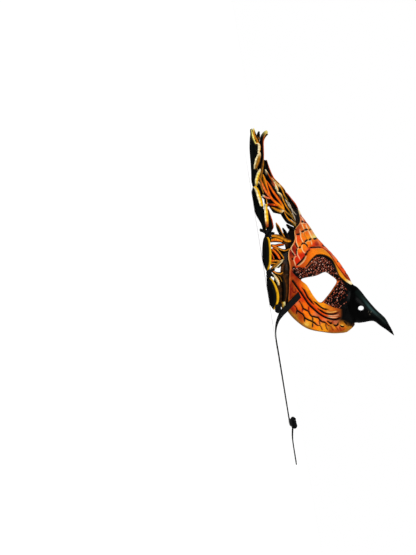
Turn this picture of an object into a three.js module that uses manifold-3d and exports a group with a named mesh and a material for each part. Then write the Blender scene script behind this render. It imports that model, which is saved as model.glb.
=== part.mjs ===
// A leather owl mask lying face up: tooled face with brow, eye holes and hooked beak, two horn tufts and
// side feathers laced on with thongs, and a tied flat strap. Millimetres, +Z up, origin under the middle.
// The mask is drawn as worn, x to the wearer's left, y up and z forward, and then laid on its rear rim.
import * as THREE from "three";
import { mergeVertices } from "three/addons/utils/BufferGeometryUtils.js";
import Module from "manifold-3d";

const wasm = await Module();
wasm.setup();

const LYING_TILT = THREE.MathUtils.degToRad(9.2);
const LEATHER = 3;
const LAP_GAP = 0.6;
const PIECE_GAP = 0.35;
const GROUND_CUT = 0.5;
const SLIVER = 0.12;

// Stations down the face: ridge [up, forward] on the middle plane, then rim [half width, up, forward].
const FACE_STATIONS = [
  { ridge: [92.6, 29.3], rim: [2, 91, 29.6] },
  { ridge: [83, 34.6], rim: [27, 78.6, 31.4] },
  { ridge: [74, 41.5], rim: [46, 70, 26] },
  { ridge: [63.2, 48.5], rim: [55, 60, 26] },
  { ridge: [53.3, 57.5], rim: [65.5, 48.5, 20] },
  { ridge: [42, 68], rim: [69.5, 37, 20] },
  { ridge: [28.5, 77.5], rim: [70.5, 24, 20.4] },
  { ridge: [16.6, 84.2], rim: [70.5, 11, 20.4] },
  { ridge: [3, 92], rim: [69.5, -1, 19.6] },
  { ridge: [-9.5, 95.5], rim: [68, -8, 19.5] },
  { ridge: [-18, 93.5], rim: [61, -19, 28.5] },
  { ridge: [-22, 89], rim: [49, -28, 41] },
  { ridge: [-23, 86], rim: [33, -31.6, 57.5] },
  { ridge: [-23.3, 84.5], rim: [18, -31.4, 73] },
  { ridge: [-23.4, 84], rim: [6, -25.5, 82.5] },
];
const FACE_ROWS = 32;
const FACE_COLUMNS = 20;
const FOREHEAD_ROUNDNESS = 1.35;
const CHEEK_ROUNDNESS = 1.12;
const NOSE_HEIGHT = 14;
const NOSE_WIDTH = 16;

// Lines in the profile, as [forward, up].
const BROW_LINE = [[18, 34], [28, 36], [36, 42], [44, 48.5], [53, 49], [60, 44], [66, 33], [74, 23], [82, 16]];
const CHEEK_LINE = [[20, 31], [32, 17], [40, 6], [46, -2], [56, -7], [65, -11], [74, -12]];
const EYE_OUTLINE = [
  [32.7, 21.1], [47.3, 24.6], [56.2, 28.1], [62, 25.3], [68.4, 19.5],
  [65.2, 12.5], [58.8, 3.5], [52.4, -2.5], [46, 2.9], [38.4, 15],
];
const BROW_HEIGHT = 2.4;
const BROW_WIDTH = 9;
const CHEEK_LINE_HEIGHT = 1.6;
const CHEEK_LINE_WIDTH = 9;

// Beak stations: top and bottom as [up, forward], with the half width between them.
const BEAK_STATIONS = [
  { top: [14, 76], bottom: [-19, 76], half: 9.5 },
  { top: [16.4, 84.2], bottom: [-23.2, 84.2], half: 12.5 },
  { top: [10.8, 91.3], bottom: [-22.4, 95.4], half: 11.5 },
  { top: [0.4, 99.6], bottom: [-21.2, 101.5], half: 9 },
  { top: [-9.1, 107.9], bottom: [-21.6, 106.5], half: 6.4 },
  { top: [-17.8, 117], bottom: [-26, 112.5], half: 4.6 },
  { top: [-25.3, 121.5], bottom: [-30, 118.5], half: 3 },
  { top: [-30.7, 124.4], bottom: [-33.6, 123.2], half: 1.6 },
  { top: [-35, 126.1], bottom: [-35.6, 126], half: 0.4 },
];
const BEAK_HOLLOW = [
  { top: [9, 62], bottom: [-14, 62], half: 12 },
  { top: [12.4, 84], bottom: [-19.8, 84], half: 9.4 },
  { top: [7, 91], bottom: [-19.2, 94.6], half: 8.4 },
  { top: [-3.2, 98.2], bottom: [-18.2, 100.2], half: 6 },
  { top: [-13, 104.6], bottom: [-17.4, 104.2], half: 2.4 },
];
const BEAK_SIDES = 12;
const NOSTRIL = { up: -8, forward: 92.8, long: 5.8, high: 4.6 };
const STRAP_SLIT = { up: 5.4, forward: 29.6, long: 9, wide: 2.6 };

// The feathered wing behind the face, by height: where it starts and ends in depth and half width.
const WING = [
  { up: -12, inner: [19, 68], outer: [8, 69] },
  { up: 10, inner: [20, 70], outer: [3, 75] },
  { up: 30, inner: [20, 70], outer: [1, 76] },
  { up: 50, inner: [20, 65], outer: [-2, 76] },
  { up: 65, inner: [26, 50], outer: [-1, 72] },
  { up: 78, inner: [31, 28], outer: [-5, 73] },
  { up: 92, inner: [29, 4], outer: [-10, 71] },
  { up: 105, inner: [19, 18], outer: [-12, 67] },
  { up: 120, inner: [7, 32], outer: [-13, 61] },
  { up: 140, inner: [-2, 42], outer: [-14, 54] },
  { up: 172, inner: [-3, 50], outer: [-16, 57] },
];
const STRAND_FACING = new THREE.Vector3(0.72, 0.05, 0.69);
const STRAND_STEPS = 4;

const LEATHER_ORANGE = 0xc7601c;
const LEATHER_BLACK = 0x17120f;
const LEATHER_BROWN = 0x6b3a16;
const THONG_BLACK = 0x0b0b0c;

const leatherMaterial = (color, roughness) => new THREE.MeshStandardMaterial({ color, roughness, metalness: 0 });
const faceMaterial = leatherMaterial(LEATHER_ORANGE, 0.45);
const tuftMaterial = leatherMaterial(LEATHER_BLACK, 0.5);
const featherMaterial = leatherMaterial(LEATHER_BROWN, 0.5);
const thongMaterial = leatherMaterial(THONG_BLACK, 0.7);
const strapMaterial = leatherMaterial(THONG_BLACK, 0.9);

// Closed meshes and solids.
function solidFrom(positions, triangles) {
  const geometry = new THREE.BufferGeometry();
  geometry.setAttribute("position", new THREE.Float32BufferAttribute(positions, 3));
  geometry.setIndex(triangles);
  return toSolid(geometry);
}

function toSolid(geometry) {
  const bare = geometry.clone();
  bare.deleteAttribute("normal");
  bare.deleteAttribute("uv");
  const merged = mergeVertices(bare, 1e-4);
  const vertProperties = merged.attributes.position.array;
  const triVerts = new Uint32Array(merged.index.array);
  const solid = new wasm.Manifold(new wasm.Mesh({ numProp: 3, vertProperties, triVerts }));
  if (solid.volume() > 0) return solid;
  for (let i = 0; i < triVerts.length; i += 3) {
    [triVerts[i + 1], triVerts[i + 2]] = [triVerts[i + 2], triVerts[i + 1]];
  }
  return new wasm.Manifold(new wasm.Mesh({ numProp: 3, vertProperties, triVerts }));
}

function toMesh(name, solid, material) {
  const { vertProperties, triVerts } = solid.asOriginal().simplify(SLIVER).getMesh();
  const geometry = new THREE.BufferGeometry();
  geometry.setAttribute("position", new THREE.BufferAttribute(vertProperties, 3));
  geometry.setIndex(new THREE.BufferAttribute(triVerts, 1));
  geometry.computeVertexNormals();
  const mesh = new THREE.Mesh(geometry, material);
  mesh.name = name;
  return mesh;
}

const joined = (solids) => solids.reduce((whole, solid) => whole.add(solid));

// Caps of a ring, as triangles of places in it: a fan, or a strip between its front half and its back half.
function fanCap(count) {
  const cap = [];
  for (let j = 1; j + 1 < count; j++) {
    cap.push([0, j + 1, j]);
  }
  return cap;
}

function stripCap(count) {
  const cap = [];
  for (let j = 0; j + 1 < count / 2; j++) {
    const far = count - 1 - j;
    cap.push([j, far, far - 1], [j, far - 1, j + 1]);
  }
  return cap;
}

// Rings of equal count, joined in order and capped at both ends.
function loft(rings, makeCap = fanCap) {
  const count = rings[0].length;
  const last = (rings.length - 1) * count;
  const triangles = [];
  for (let i = 0; i < last; i += count) {
    for (let j = 0; j < count; j++) {
      const a = i + j;
      const b = i + ((j + 1) % count);
      triangles.push(a, b, b + count, a, b + count, a + count);
    }
  }
  for (const [a, b, c] of makeCap(count)) {
    triangles.push(a, b, c, last + a, last + c, last + b);
  }
  return solidFrom(rings.flat().flatMap((p) => [p.x, p.y, p.z]), triangles);
}

// A sheet of leather between a front and a back grid of points.
function sheet(front, back) {
  return loft(front.map((row, i) => [...row, ...[...back[i]].reverse()]), stripCap);
}

const curveThrough = (points, closed = false) => new THREE.CatmullRomCurve3(points, closed, "catmullrom", 0.5);
const profilePoint = ([forward, up]) => new THREE.Vector3(0, up, forward);

// The face as a surface: across runs from -1 at one rim to 1 at the other, down from 0 to 1.
const ridgeCurve = curveThrough(FACE_STATIONS.map(({ ridge: [up, forward] }) => new THREE.Vector3(0, up, forward)));
const rimCurve = curveThrough(FACE_STATIONS.map(({ rim: [half, up, forward] }) => new THREE.Vector3(half, up, forward)));
const noseShare = (down) => THREE.MathUtils.smoothstep(down, 0.47, 0.64) * (1 - THREE.MathUtils.smoothstep(down, 0.7, 0.86));

function faceSurface(across, down) {
  const ridge = ridgeCurve.getPoint(down);
  const rim = rimCurve.getPoint(down);
  const a = Math.abs(across);
  const easing = THREE.MathUtils.smoothstep(down, 0.22, 0.5);
  const roundness = THREE.MathUtils.lerp(FOREHEAD_ROUNDNESS, CHEEK_ROUNDNESS, easing);
  const nose = NOSE_HEIGHT * noseShare(down);
  const half = rim.x * a;
  const slope = (ridge.z - nose - rim.z) * (1 - a ** roundness);
  const forward = rim.z + slope + nose * Math.exp(-((half / NOSE_WIDTH) ** 2)) * (1 - a);
  return new THREE.Vector3(half * Math.sign(across), THREE.MathUtils.lerp(ridge.y, rim.y, a), forward);
}

function faceNormal(across, down) {
  const step = 0.01;
  const d = THREE.MathUtils.clamp(down, step, 1 - step);
  const side = faceSurface(across + step, d).sub(faceSurface(across - step, d));
  const along = faceSurface(across, d + step).sub(faceSurface(across, d - step));
  return along.cross(side).normalize();
}

const browPath = curveThrough(BROW_LINE.map(profilePoint)).getPoints(40);
const cheekPath = curveThrough(CHEEK_LINE.map(profilePoint)).getPoints(30);

function roll(path, point, height, width) {
  const flat = new THREE.Vector3(0, point.y, point.z);
  const distance = Math.min(...path.map((p) => p.distanceTo(flat)));
  return height * (1 - THREE.MathUtils.smoothstep(distance, width * 0.25, width * 0.75));
}

const relief = (point) =>
  roll(browPath, point, BROW_HEIGHT, BROW_WIDTH) + roll(cheekPath, point, CHEEK_LINE_HEIGHT, CHEEK_LINE_WIDTH);

function faceShell() {
  const front = [];
  const back = [];
  for (let i = 0; i <= FACE_ROWS; i++) {
    const down = i / FACE_ROWS;
    const frontRow = [];
    const backRow = [];
    for (let j = 0; j <= FACE_COLUMNS; j++) {
      const across = (2 * j) / FACE_COLUMNS - 1;
      const point = faceSurface(across, down);
      const normal = faceNormal(across, down);
      frontRow.push(point.clone().addScaledVector(normal, relief(point)));
      backRow.push(point.clone().addScaledVector(normal, -LEATHER));
    }
    front.push(frontRow);
    back.push(backRow);
  }
  return sheet(front, back);
}

function beakRing({ top, bottom, half }) {
  const high = new THREE.Vector3(0, ...top);
  const low = new THREE.Vector3(0, ...bottom);
  const middle = high.clone().lerp(low, 0.5);
  const ring = [];
  for (let i = 0; i < BEAK_SIDES; i++) {
    const angle = (2 * Math.PI * i) / BEAK_SIDES;
    const narrowing = 1 - 0.35 * Math.max(0, Math.cos(angle)) ** 2;
    const point = middle.clone().lerp(high, Math.cos(angle));
    point.x = half * narrowing * Math.sin(angle);
    ring.push(point);
  }
  return ring;
}

// A prism through the mask from side to side, over an outline given as [forward, up].
function sidewaysCut(outline, from, to) {
  const shape = new THREE.Shape(outline.map(([forward, up]) => new THREE.Vector2(-forward, up)));
  const geometry = new THREE.ExtrudeGeometry(shape, { depth: to - from, bevelEnabled: false });
  geometry.rotateY(Math.PI / 2);
  geometry.translate(from, 0, 0);
  return toSolid(geometry);
}

function smoothOutline(points, count) {
  const curve = curveThrough(points.map(profilePoint), true);
  return curve.getPoints(count).slice(0, count).map((p) => [p.z, p.y]);
}

function ovalOutline({ up, forward, long, high }) {
  const points = [];
  for (let i = 0; i < 10; i++) {
    const angle = (2 * Math.PI * i) / 10;
    points.push([forward + (long / 2) * Math.cos(angle), up + (high / 2) * Math.sin(angle)]);
  }
  return points;
}

function slitOutline({ up, forward, long, wide }) {
  const low = up - long / 2;
  const high = up + long / 2;
  return [[forward - wide / 2, low], [forward + wide / 2, low], [forward + wide / 2, high], [forward - wide / 2, high]];
}

function face() {
  const beak = loft(BEAK_STATIONS.map(beakRing));
  const hollow = loft(BEAK_HOLLOW.map(beakRing));
  const eye = smoothOutline(EYE_OUTLINE, 22);
  const slit = slitOutline(STRAP_SLIT);
  return faceShell()
    .add(beak)
    .subtract(hollow)
    .subtract(sidewaysCut(ovalOutline(NOSTRIL), -30, 30))
    .subtract(sidewaysCut(eye, 6, 90))
    .subtract(sidewaysCut(eye, -90, -6))
    .subtract(sidewaysCut(slit, 40, 90))
    .subtract(sidewaysCut(slit, -90, -40));
}

// Half width of the feathered wing at a place in the profile.
function wingReach(forward, up) {
  const above = WING.findIndex((row) => row.up >= up);
  const i = THREE.MathUtils.clamp(above, 1, WING.length - 1);
  const low = WING[i - 1];
  const high = WING[i];
  const share = (up - low.up) / (high.up - low.up);
  const mix = (a, b) => THREE.MathUtils.lerp(a, b, share);
  const innerForward = mix(low.inner[0], high.inner[0]);
  const innerHalf = mix(low.inner[1], high.inner[1]);
  const outerForward = mix(low.outer[0], high.outer[0]);
  const outerHalf = mix(low.outer[1], high.outer[1]);
  const out = (innerForward - forward) / (innerForward - outerForward);
  return THREE.MathUtils.lerp(innerHalf, outerHalf, THREE.MathUtils.clamp(out, -0.1, 1.1));
}

// A barb or strand of the feathers: a tapering strip along profile points [forward, up].
function strand({ line, widths, thick = LEATHER, lift = 0 }) {
  const path = curveThrough(line.map(([f, u]) => new THREE.Vector3(wingReach(f, u) + lift, u, f)));
  const rings = [];
  for (let i = 0; i <= STRAND_STEPS; i++) {
    const t = i / STRAND_STEPS;
    const centre = path.getPoint(t);
    const tangent = path.getTangent(t);
    const across = tangent.clone().cross(STRAND_FACING).normalize();
    const facing = across.clone().cross(tangent).normalize();
    const place = t * (widths.length - 1);
    const k = Math.min(Math.floor(place), widths.length - 2);
    const half = THREE.MathUtils.lerp(widths[k], widths[k + 1], place - k) / 2;
    const corners = [[-1, -1], [1, -1], [1, 1], [-1, 1]];
    rings.push(corners.map(([a, b]) =>
      centre.clone().addScaledVector(across, a * half).addScaledVector(facing, (b * thick) / 2)));
  }
  return loft(rings);
}

// The closed web that carries the strands, between a front line and a back line in the profile.
function web(frontLine, backLine) {
  const facing = STRAND_FACING.clone().setLength(WEB_THICK);
  const front = [];
  const back = [];
  frontLine.forEach((start, i) => {
    const row = [];
    for (let j = 0; j <= WEB_COLUMNS; j++) {
      const forward = THREE.MathUtils.lerp(start[0], backLine[i][0], j / WEB_COLUMNS);
      const up = THREE.MathUtils.lerp(start[1], backLine[i][1], j / WEB_COLUMNS);
      row.push(new THREE.Vector3(wingReach(forward, up), up, forward));
    }
    front.push(row);
    back.push(row.map((p) => p.clone().sub(facing)));
  });
  return sheet(front, back);
}

// The part of a feather that is glued behind the face, and shows past its rim by reach.
function lappedBase(from, to, rows, reach) {
  const front = [];
  const back = [];
  for (let i = 0; i <= rows; i++) {
    const down = THREE.MathUtils.lerp(from, to, i / rows);
    const rim = faceSurface(1, down);
    const hidden = faceSurface(0.86, down);
    const depth = faceNormal(0.98, down).multiplyScalar(-(LEATHER + LAP_GAP));
    const start = hidden.clone().add(depth);
    const edge = rim.clone().add(depth);
    const end = edge.clone().add(reach);
    const thick = depth.clone().setLength(LEATHER * 0.8);
    front.push([start, edge, end]);
    back.push([start, edge, end].map((p) => p.clone().add(thick)));
  }
  return sheet(front, back);
}

// A cupped feather tip: its rim curls forward, its belly is what the mask lies on.
// Stations are [up, forward of the belly, forward of the rim, half width of the rim].
function cuppedTip(stations) {
  const rings = stations.map(([up, belly, rim, half], i) => {
    const full = i > 0 && i < stations.length - 1 ? 1 : 0.25;
    const thick = LEATHER * full;
    const inward = 9 * full;
    return [
      new THREE.Vector3(half, up, rim),
      new THREE.Vector3(half - inward, up, belly),
      new THREE.Vector3(half - 2 * inward, up, belly + 4 * full),
      new THREE.Vector3(half - 2 * inward, up, belly + 4 * full + thick),
      new THREE.Vector3(half - inward, up, belly + thick),
      new THREE.Vector3(half - thick, up, rim),
    ];
  });
  return loft(rings, stripCap);
}

const LOWER_TIP = [
  [24.5, -2, 0, 83], [19, -2, 5, 88], [11, -1.6, 9, 91.5], [3, -0.4, 10.3, 91], [-3, 0.8, 9, 89], [-9, 4.6, 5.8, 84],
];
const UPPER_TIP = [
  [65, -3, -2, 84], [60, -5.4, 1, 91], [50, -6.4, 2.5, 94], [40, -6, 2.4, 94], [33, -4, 1, 91], [28.5, -1.5, -1, 85],
];
const TUFT_LOW_TIP = [
  [113, -15.6, -14.5, 74], [107, -16.8, -11.5, 80], [97, -16.6, -8, 84], [87, -13.4, -3.5, 86],
  [77, -7.8, -1.8, 86], [67.5, -5, -4, 80],
];
const TUFT_HIGH_TIP = [
  [171, -17.6, -16.5, 62], [160, -18.8, -14, 69], [149, -19, -10.5, 72], [138, -18, -12.5, 73],
  [127, -17.4, -11, 75], [118, -17, -12, 76], [113.8, -15.5, -14.5, 72],
];

const TUFT_STRANDS = [
  { line: [[27, 92], [16, 109], [6, 120], [0, 130]], widths: [9, 7, 6, 3] },
  { line: [[4, 118], [-3, 138], [-8, 150], [-6, 163], [-1, 168.5]], widths: [6, 6, 4, 3, 1.4] },
  { line: [[-6, 128], [-12, 142], [-14, 158], [-11, 167.5]], widths: [6, 5, 4, 1.4] },
  { line: [[26, 86], [12, 102], [2, 116], [-5, 131]], widths: [12, 8, 5, 3] },
  { line: [[24, 82], [9, 98], [-1, 111], [-9, 122]], widths: [12, 6, 4, 3] },
  { line: [[22, 79], [6, 95], [-6, 109], [-12, 118]], widths: [10, 6, 4, 3] },
  { line: [[20, 80], [8, 90], [-2, 96], [-11, 107]], widths: [8, 5, 4, 3] },
  { line: [[24, 78], [16, 84], [8, 92], [-6, 98]], widths: [10, 8, 5, 3] },
  { line: [[4, 68], [2, 78], [-1, 88], [-6, 96]], widths: [3, 4, 4, 3] },
];
const TUFT_FRONT = [[28, 88], [16, 107], [6, 118], [-1, 130], [-3, 141], [-6, 150]];
const TUFT_BACK = [[25, 77], [12, 85], [0, 93], [-8, 103], [-12, 118], [-13, 148]];
const WEB_COLUMNS = 3;
const WEB_THICK = 2;
// Cut-outs between the barbs, where one sees through.
const UPPER_GAPS = [
  { up: 57.2, forward: 7.4, long: 6.4, high: 3 },
  { up: 53, forward: 13, long: 7.6, high: 3.2 },
  { up: 30.4, forward: 8.6, long: 5.2, high: 2.6 },
];
const UPPER_BARBS = [
  { line: [[18, 58], [12, 66], [8, 76]], widths: [7, 5, 1] },
  { line: [[17, 59], [15.5, 66], [13.5, 72]], widths: [5, 4, 1] },
  { line: [[19, 58], [18, 62], [16, 69]], widths: [5, 4, 1] },
  { line: [[14, 58], [5, 60], [-3, 60]], widths: [5, 4, 4] },
  { line: [[15, 50], [7, 54], [-3, 55]], widths: [4, 3, 3] },
  { line: [[13, 42], [6, 48], [-3, 52]], widths: [5, 5, 4] },
  { line: [[14, 40], [5, 41], [-3, 43]], widths: [4, 4, 4] },
  { line: [[14, 38], [8, 35], [0, 35]], widths: [4, 5, 3] },
];
const LOWER_BARBS = [
  { line: [[15, 26], [8, 23], [1, 22]], widths: [6, 5, 4] },
  { line: [[15, 18], [9, 16], [2, 14]], widths: [6, 6, 6] },
  { line: [[15, 10], [9, 8], [2, 7]], widths: [6, 6, 6] },
  { line: [[15, 1], [9, 1], [3, 0]], widths: [6, 6, 6] },
];

const ground = toSolid(new THREE.BoxGeometry(400, 500, 40))
  .translate([0, 0, GROUND_CUT - 20])
  .rotate([-THREE.MathUtils.radToDeg(LYING_TILT), 0, 0]);

// Thong knots: a lump with two short ends, [half width, up, forward] and a size.
const KNOTS = {
  upper_lacing_knot: { centre: [84, 66, -0.6], size: 4.4, ends: [[82, 70.5, -8.5], [86, 66.5, 5.5]] },
  middle_lacing_knot: { centre: [86, 26.8, 0.6], size: 3.8, ends: [[85, 31, 6], [87, 23.5, 5]] },
  lower_lacing_knot: { centre: [86, -7.6, 9.4], size: 4, ends: [[87, -3.6, 13], [85, -12.4, 9.6]] },
};

function blob(radius, centre, grow) {
  const geometry = new THREE.SphereGeometry(radius + grow, 7, 5);
  geometry.translate(...centre);
  return toSolid(geometry);
}

function thongEnd(from, to, radius, grow) {
  const start = new THREE.Vector3(...from);
  const end = new THREE.Vector3(...to);
  const length = start.distanceTo(end) + grow;
  const geometry = new THREE.CylinderGeometry(radius * 0.75 + grow, radius + grow, length, 5);
  geometry.translate(0, length / 2, 0);
  const turn = new THREE.Quaternion().setFromUnitVectors(new THREE.Vector3(0, 1, 0), end.sub(start).normalize());
  geometry.applyQuaternion(turn);
  geometry.translate(start.x, start.y, start.z);
  return toSolid(geometry);
}

function knot({ centre, size, ends }, grow = 0) {
  const lumps = [blob(size, centre, grow), ...ends.map((end) => thongEnd(centre, end, size * 0.5, grow))];
  return joined(lumps);
}

const pockets = joined(Object.values(KNOTS).map((shape) => knot(shape, PIECE_GAP)));

function tuft() {
  const base = lappedBase(0.035, 0.165, 5, new THREE.Vector3(3, 8, -8));
  const tips = [cuppedTip(TUFT_LOW_TIP), cuppedTip(TUFT_HIGH_TIP)];
  const pieces = [base, web(TUFT_FRONT, TUFT_BACK), ...tips, ...TUFT_STRANDS.map(strand)];
  return joined(pieces).subtract(pockets).subtract(ground);
}

function upperFeather() {
  const base = lappedBase(0.235, 0.4, 5, new THREE.Vector3(6, 0, -18));
  const gaps = UPPER_GAPS.map((gap) => sidewaysCut(ovalOutline(gap), 40, 82));
  const whole = joined([base, cuppedTip(UPPER_TIP), ...UPPER_BARBS.map(strand)]);
  return whole.subtract(joined(gaps)).subtract(pockets).subtract(ground);
}

function lowerFeather() {
  const base = lappedBase(0.41, 0.585, 5, new THREE.Vector3(6, -1, -16));
  return joined([base, cuppedTip(LOWER_TIP), ...LOWER_BARBS.map(strand)]).subtract(pockets).subtract(ground);
}

// A flat strap from its slit to the tie, and its tail beyond it: route points with the way its face looks.
const STRAP_WIDTH = 7;
const STRAP_THICK = 1.2;
const STRAP_HEIGHT = 0.75;
const STRAP_STEPS = 20;
const TAIL_STEPS = 7;
const STRAP_ROUTE = [
  { at: [61.6, -57.6, 30.9], facing: [0.72, -0.2, 0.66] },
  { at: [65.4, -60.4, 27.2], facing: [0.75, -0.25, 0.6] },
  { at: [69.8, -64, 22.2], facing: [0.8, -0.3, 0.52] },
  { at: [73.8, -68.2, 16.6], facing: [0.8, -0.35, 0.5] },
  { at: [76.6, -73, 10.8], facing: [0.6, -0.5, 0.62] },
  { at: [78.4, -79, 5.8], facing: [0.3, -0.5, 0.81] },
  { at: [79.4, -87, 2.2], facing: [0.1, -0.3, 0.95] },
  { at: [80, -97, STRAP_HEIGHT], facing: [0, 0, 1] },
  { at: [80, -112, STRAP_HEIGHT], facing: [0, 0, 1] },
  { at: [78, -130, STRAP_HEIGHT], facing: [0, 0, 1] },
  { at: [72, -148, STRAP_HEIGHT], facing: [0, 0, 1] },
  { at: [61, -164, STRAP_HEIGHT], facing: [0, 0, 1] },
  { at: [46, -175, STRAP_HEIGHT], facing: [0, 0, 1] },
  { at: [29, -181, STRAP_HEIGHT], facing: [0, 0, 1] },
  { at: [16, -183, STRAP_HEIGHT + 0.6], facing: [0, 0, 1] },
  { at: [6.6, -183.5, 2.6], facing: [0, -0.1, 1] },
];
const TAIL_ROUTE = [
  { at: [3.6, -190, 2.6], facing: [0, 0.1, 1] },
  { at: [7, -198, STRAP_HEIGHT + 0.4], facing: [0, 0, 1] },
  { at: [13, -207, STRAP_HEIGHT], facing: [0, 0, 1] },
  { at: [22, -216, STRAP_HEIGHT], facing: [0, 0, 1] },
  { at: [34, -221, STRAP_HEIGHT], facing: [0, 0, 1] },
  { at: [47, -221, STRAP_HEIGHT], facing: [0, 0, 1] },
];
const TIE = { centre: [0, -184, 4.4], size: [6.2, 5.6, 4.2] };

function strap(name, route, steps) {
  const points = route.map(({ at }) => new THREE.Vector3(...at));
  const path = curveThrough(points);
  path.computeFrenetFrames = (count) => ribbonFrames(path, route, count);
  const half = STRAP_WIDTH / 2;
  const thick = STRAP_THICK / 2;
  const side = [[half, -thick / 2], [half, thick / 2], [half * 0.88, thick], [-half * 0.88, thick]];
  const outline = [...side, ...side.map(([x, y]) => [-x, -y])].map(([x, y]) => new THREE.Vector2(x, y));
  const settings = { steps, extrudePath: path, bevelEnabled: false };
  return toMesh(name, toSolid(new THREE.ExtrudeGeometry(new THREE.Shape(outline), settings)), strapMaterial);
}

// Frames along a ribbon whose binormal follows the facing of the route, so that the strap lies flat.
function ribbonFrames(path, route, count) {
  const frames = { tangents: [], normals: [], binormals: [] };
  for (let i = 0; i <= count; i++) {
    const place = path.getUtoTmapping(i / count) * (route.length - 1);
    const k = Math.min(Math.floor(place), route.length - 2);
    const facing = new THREE.Vector3(...route[k].facing).lerp(new THREE.Vector3(...route[k + 1].facing), place - k);
    const tangent = path.getTangentAt(i / count);
    const normal = tangent.clone().cross(facing).normalize();
    frames.tangents.push(tangent);
    frames.normals.push(normal);
    frames.binormals.push(normal.clone().cross(tangent).normalize());
  }
  return frames;
}

function tie() {
  const geometry = new THREE.SphereGeometry(1, 10, 7);
  geometry.scale(...TIE.size);
  geometry.translate(...TIE.centre);
  return toMesh("strap_tie", toSolid(geometry), strapMaterial);
}

const mask = new THREE.Group();
mask.rotation.x = LYING_TILT;
mask.add(toMesh("owl_face", face(), faceMaterial));

for (const [side, sign] of [["left", 1], ["right", -1]]) {
  const half = new THREE.Group();
  half.scale.x = sign;
  half.add(toMesh("horn_tuft_" + side, tuft(), tuftMaterial));
  half.add(toMesh("upper_side_feather_" + side, upperFeather(), featherMaterial));
  half.add(toMesh("lower_side_feather_" + side, lowerFeather(), featherMaterial));
  for (const [name, shape] of Object.entries(KNOTS)) {
    half.add(toMesh(name + "_" + side, knot(shape), thongMaterial));
  }
  mask.add(half);
}

mask.updateMatrixWorld(true);
const extent = new THREE.Box3().setFromObject(mask, true);
mask.position.set(0, -(extent.min.y + extent.max.y) / 2, -extent.min.z);

const part = new THREE.Group();
part.add(mask, tie());
for (const [side, sign] of [["left", 1], ["right", -1]]) {
  const half = new THREE.Group();
  half.scale.x = sign;
  half.add(strap("strap_" + side, STRAP_ROUTE, STRAP_STEPS));
  half.add(strap("strap_tail_" + side, TAIL_ROUTE, TAIL_STEPS));
  part.add(half);
}

export default part;
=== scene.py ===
"""Looks of a painted leather owl mask that lies face up, with its tied straps on the floor beside it."""
import math

import bmesh
import bpy
import numpy as np
from mathutils import Matrix, Vector, geometry, kdtree


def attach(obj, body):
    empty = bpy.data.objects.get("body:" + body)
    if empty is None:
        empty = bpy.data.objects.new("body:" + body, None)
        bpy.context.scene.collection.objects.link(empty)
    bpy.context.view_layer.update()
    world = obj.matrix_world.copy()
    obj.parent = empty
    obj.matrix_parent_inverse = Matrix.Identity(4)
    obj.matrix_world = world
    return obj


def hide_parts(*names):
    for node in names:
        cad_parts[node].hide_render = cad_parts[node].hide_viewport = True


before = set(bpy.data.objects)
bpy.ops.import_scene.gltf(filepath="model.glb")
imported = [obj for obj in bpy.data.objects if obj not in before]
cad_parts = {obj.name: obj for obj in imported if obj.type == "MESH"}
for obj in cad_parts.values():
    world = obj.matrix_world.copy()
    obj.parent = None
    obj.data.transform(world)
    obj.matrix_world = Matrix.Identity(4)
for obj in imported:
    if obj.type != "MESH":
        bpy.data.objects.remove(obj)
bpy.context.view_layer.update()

MM = 0.001
# The mask is worked out as worn, in millimetres: x to the side, up and forward. Then it is laid on its rear.
TILT = math.radians(9.2)
SHIFT_Y, SHIFT_Z = -58.16357, -0.5
# The profile is drawn on a plan, in millimetres right and down from a corner this far from the origin.
PLAN_RIGHT, PLAN_DOWN = 268.6, 300.3
FLOOR_GAP = 0.0001
rng = np.random.default_rng(7)

CREAM = (250, 228, 178)
PALE_YELLOW = (246, 226, 120)
YELLOW = (252, 188, 24)
AMBER = (240, 146, 20)
OCHRE = (176, 112, 22)
OLIVE = (128, 96, 28)
ORANGE = (240, 108, 10)
BRIGHT_ORANGE = (250, 126, 12)
ORANGE_RED = (228, 74, 12)
SALMON = (228, 112, 66)
RED = (206, 38, 8)
DEEP_RED = (120, 18, 6)
RED_BROWN = (160, 58, 12)
BROWN = (92, 50, 14)
DARK_BROWN = (34, 20, 9)
COPPER = (176, 88, 62)
ASH = (188, 172, 146)
BLACK = (2, 2, 2)
# Painted sheen and highlight on black: a green-black sheen on the beak and the curled leaves, and a teal
# highlight on the beak.
DARK_GREEN_SHEEN = (11, 18, 16)
TEAL_HIGHLIGHT = (58, 84, 84)
HIDE = (74, 44, 24)
# The lamps light the paint by more than one, so its colours are set this much deeper.
PAINT_DEPTH = 0.74


def tone(colour):
    return np.array(colour, float) / 255


def linear(colours):
    """Linear light of screen tones from 0 to 1."""
    c = np.clip(colours, 0, 1)
    return np.where(c <= 0.04045, c / 12.92, ((c + 0.055) / 1.055) ** 2.4) * PAINT_DEPTH


def placed(points):
    """Worn millimetres to the row frame in metres."""
    x, up, forward = np.moveaxis(np.asarray(points, float), -1, 0)
    y = up * math.cos(TILT) - forward * math.sin(TILT) + SHIFT_Y
    z = up * math.sin(TILT) + forward * math.cos(TILT) + SHIFT_Z
    return np.stack([x, y, z], -1) * MM


def smoothstep(x, low, high):
    t = np.clip((x - low) / (high - low), 0, 1)
    return t * t * (3 - 2 * t)


def unit(v):
    return v / np.maximum(np.linalg.norm(v, axis=-1, keepdims=True), 1e-12)


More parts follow.
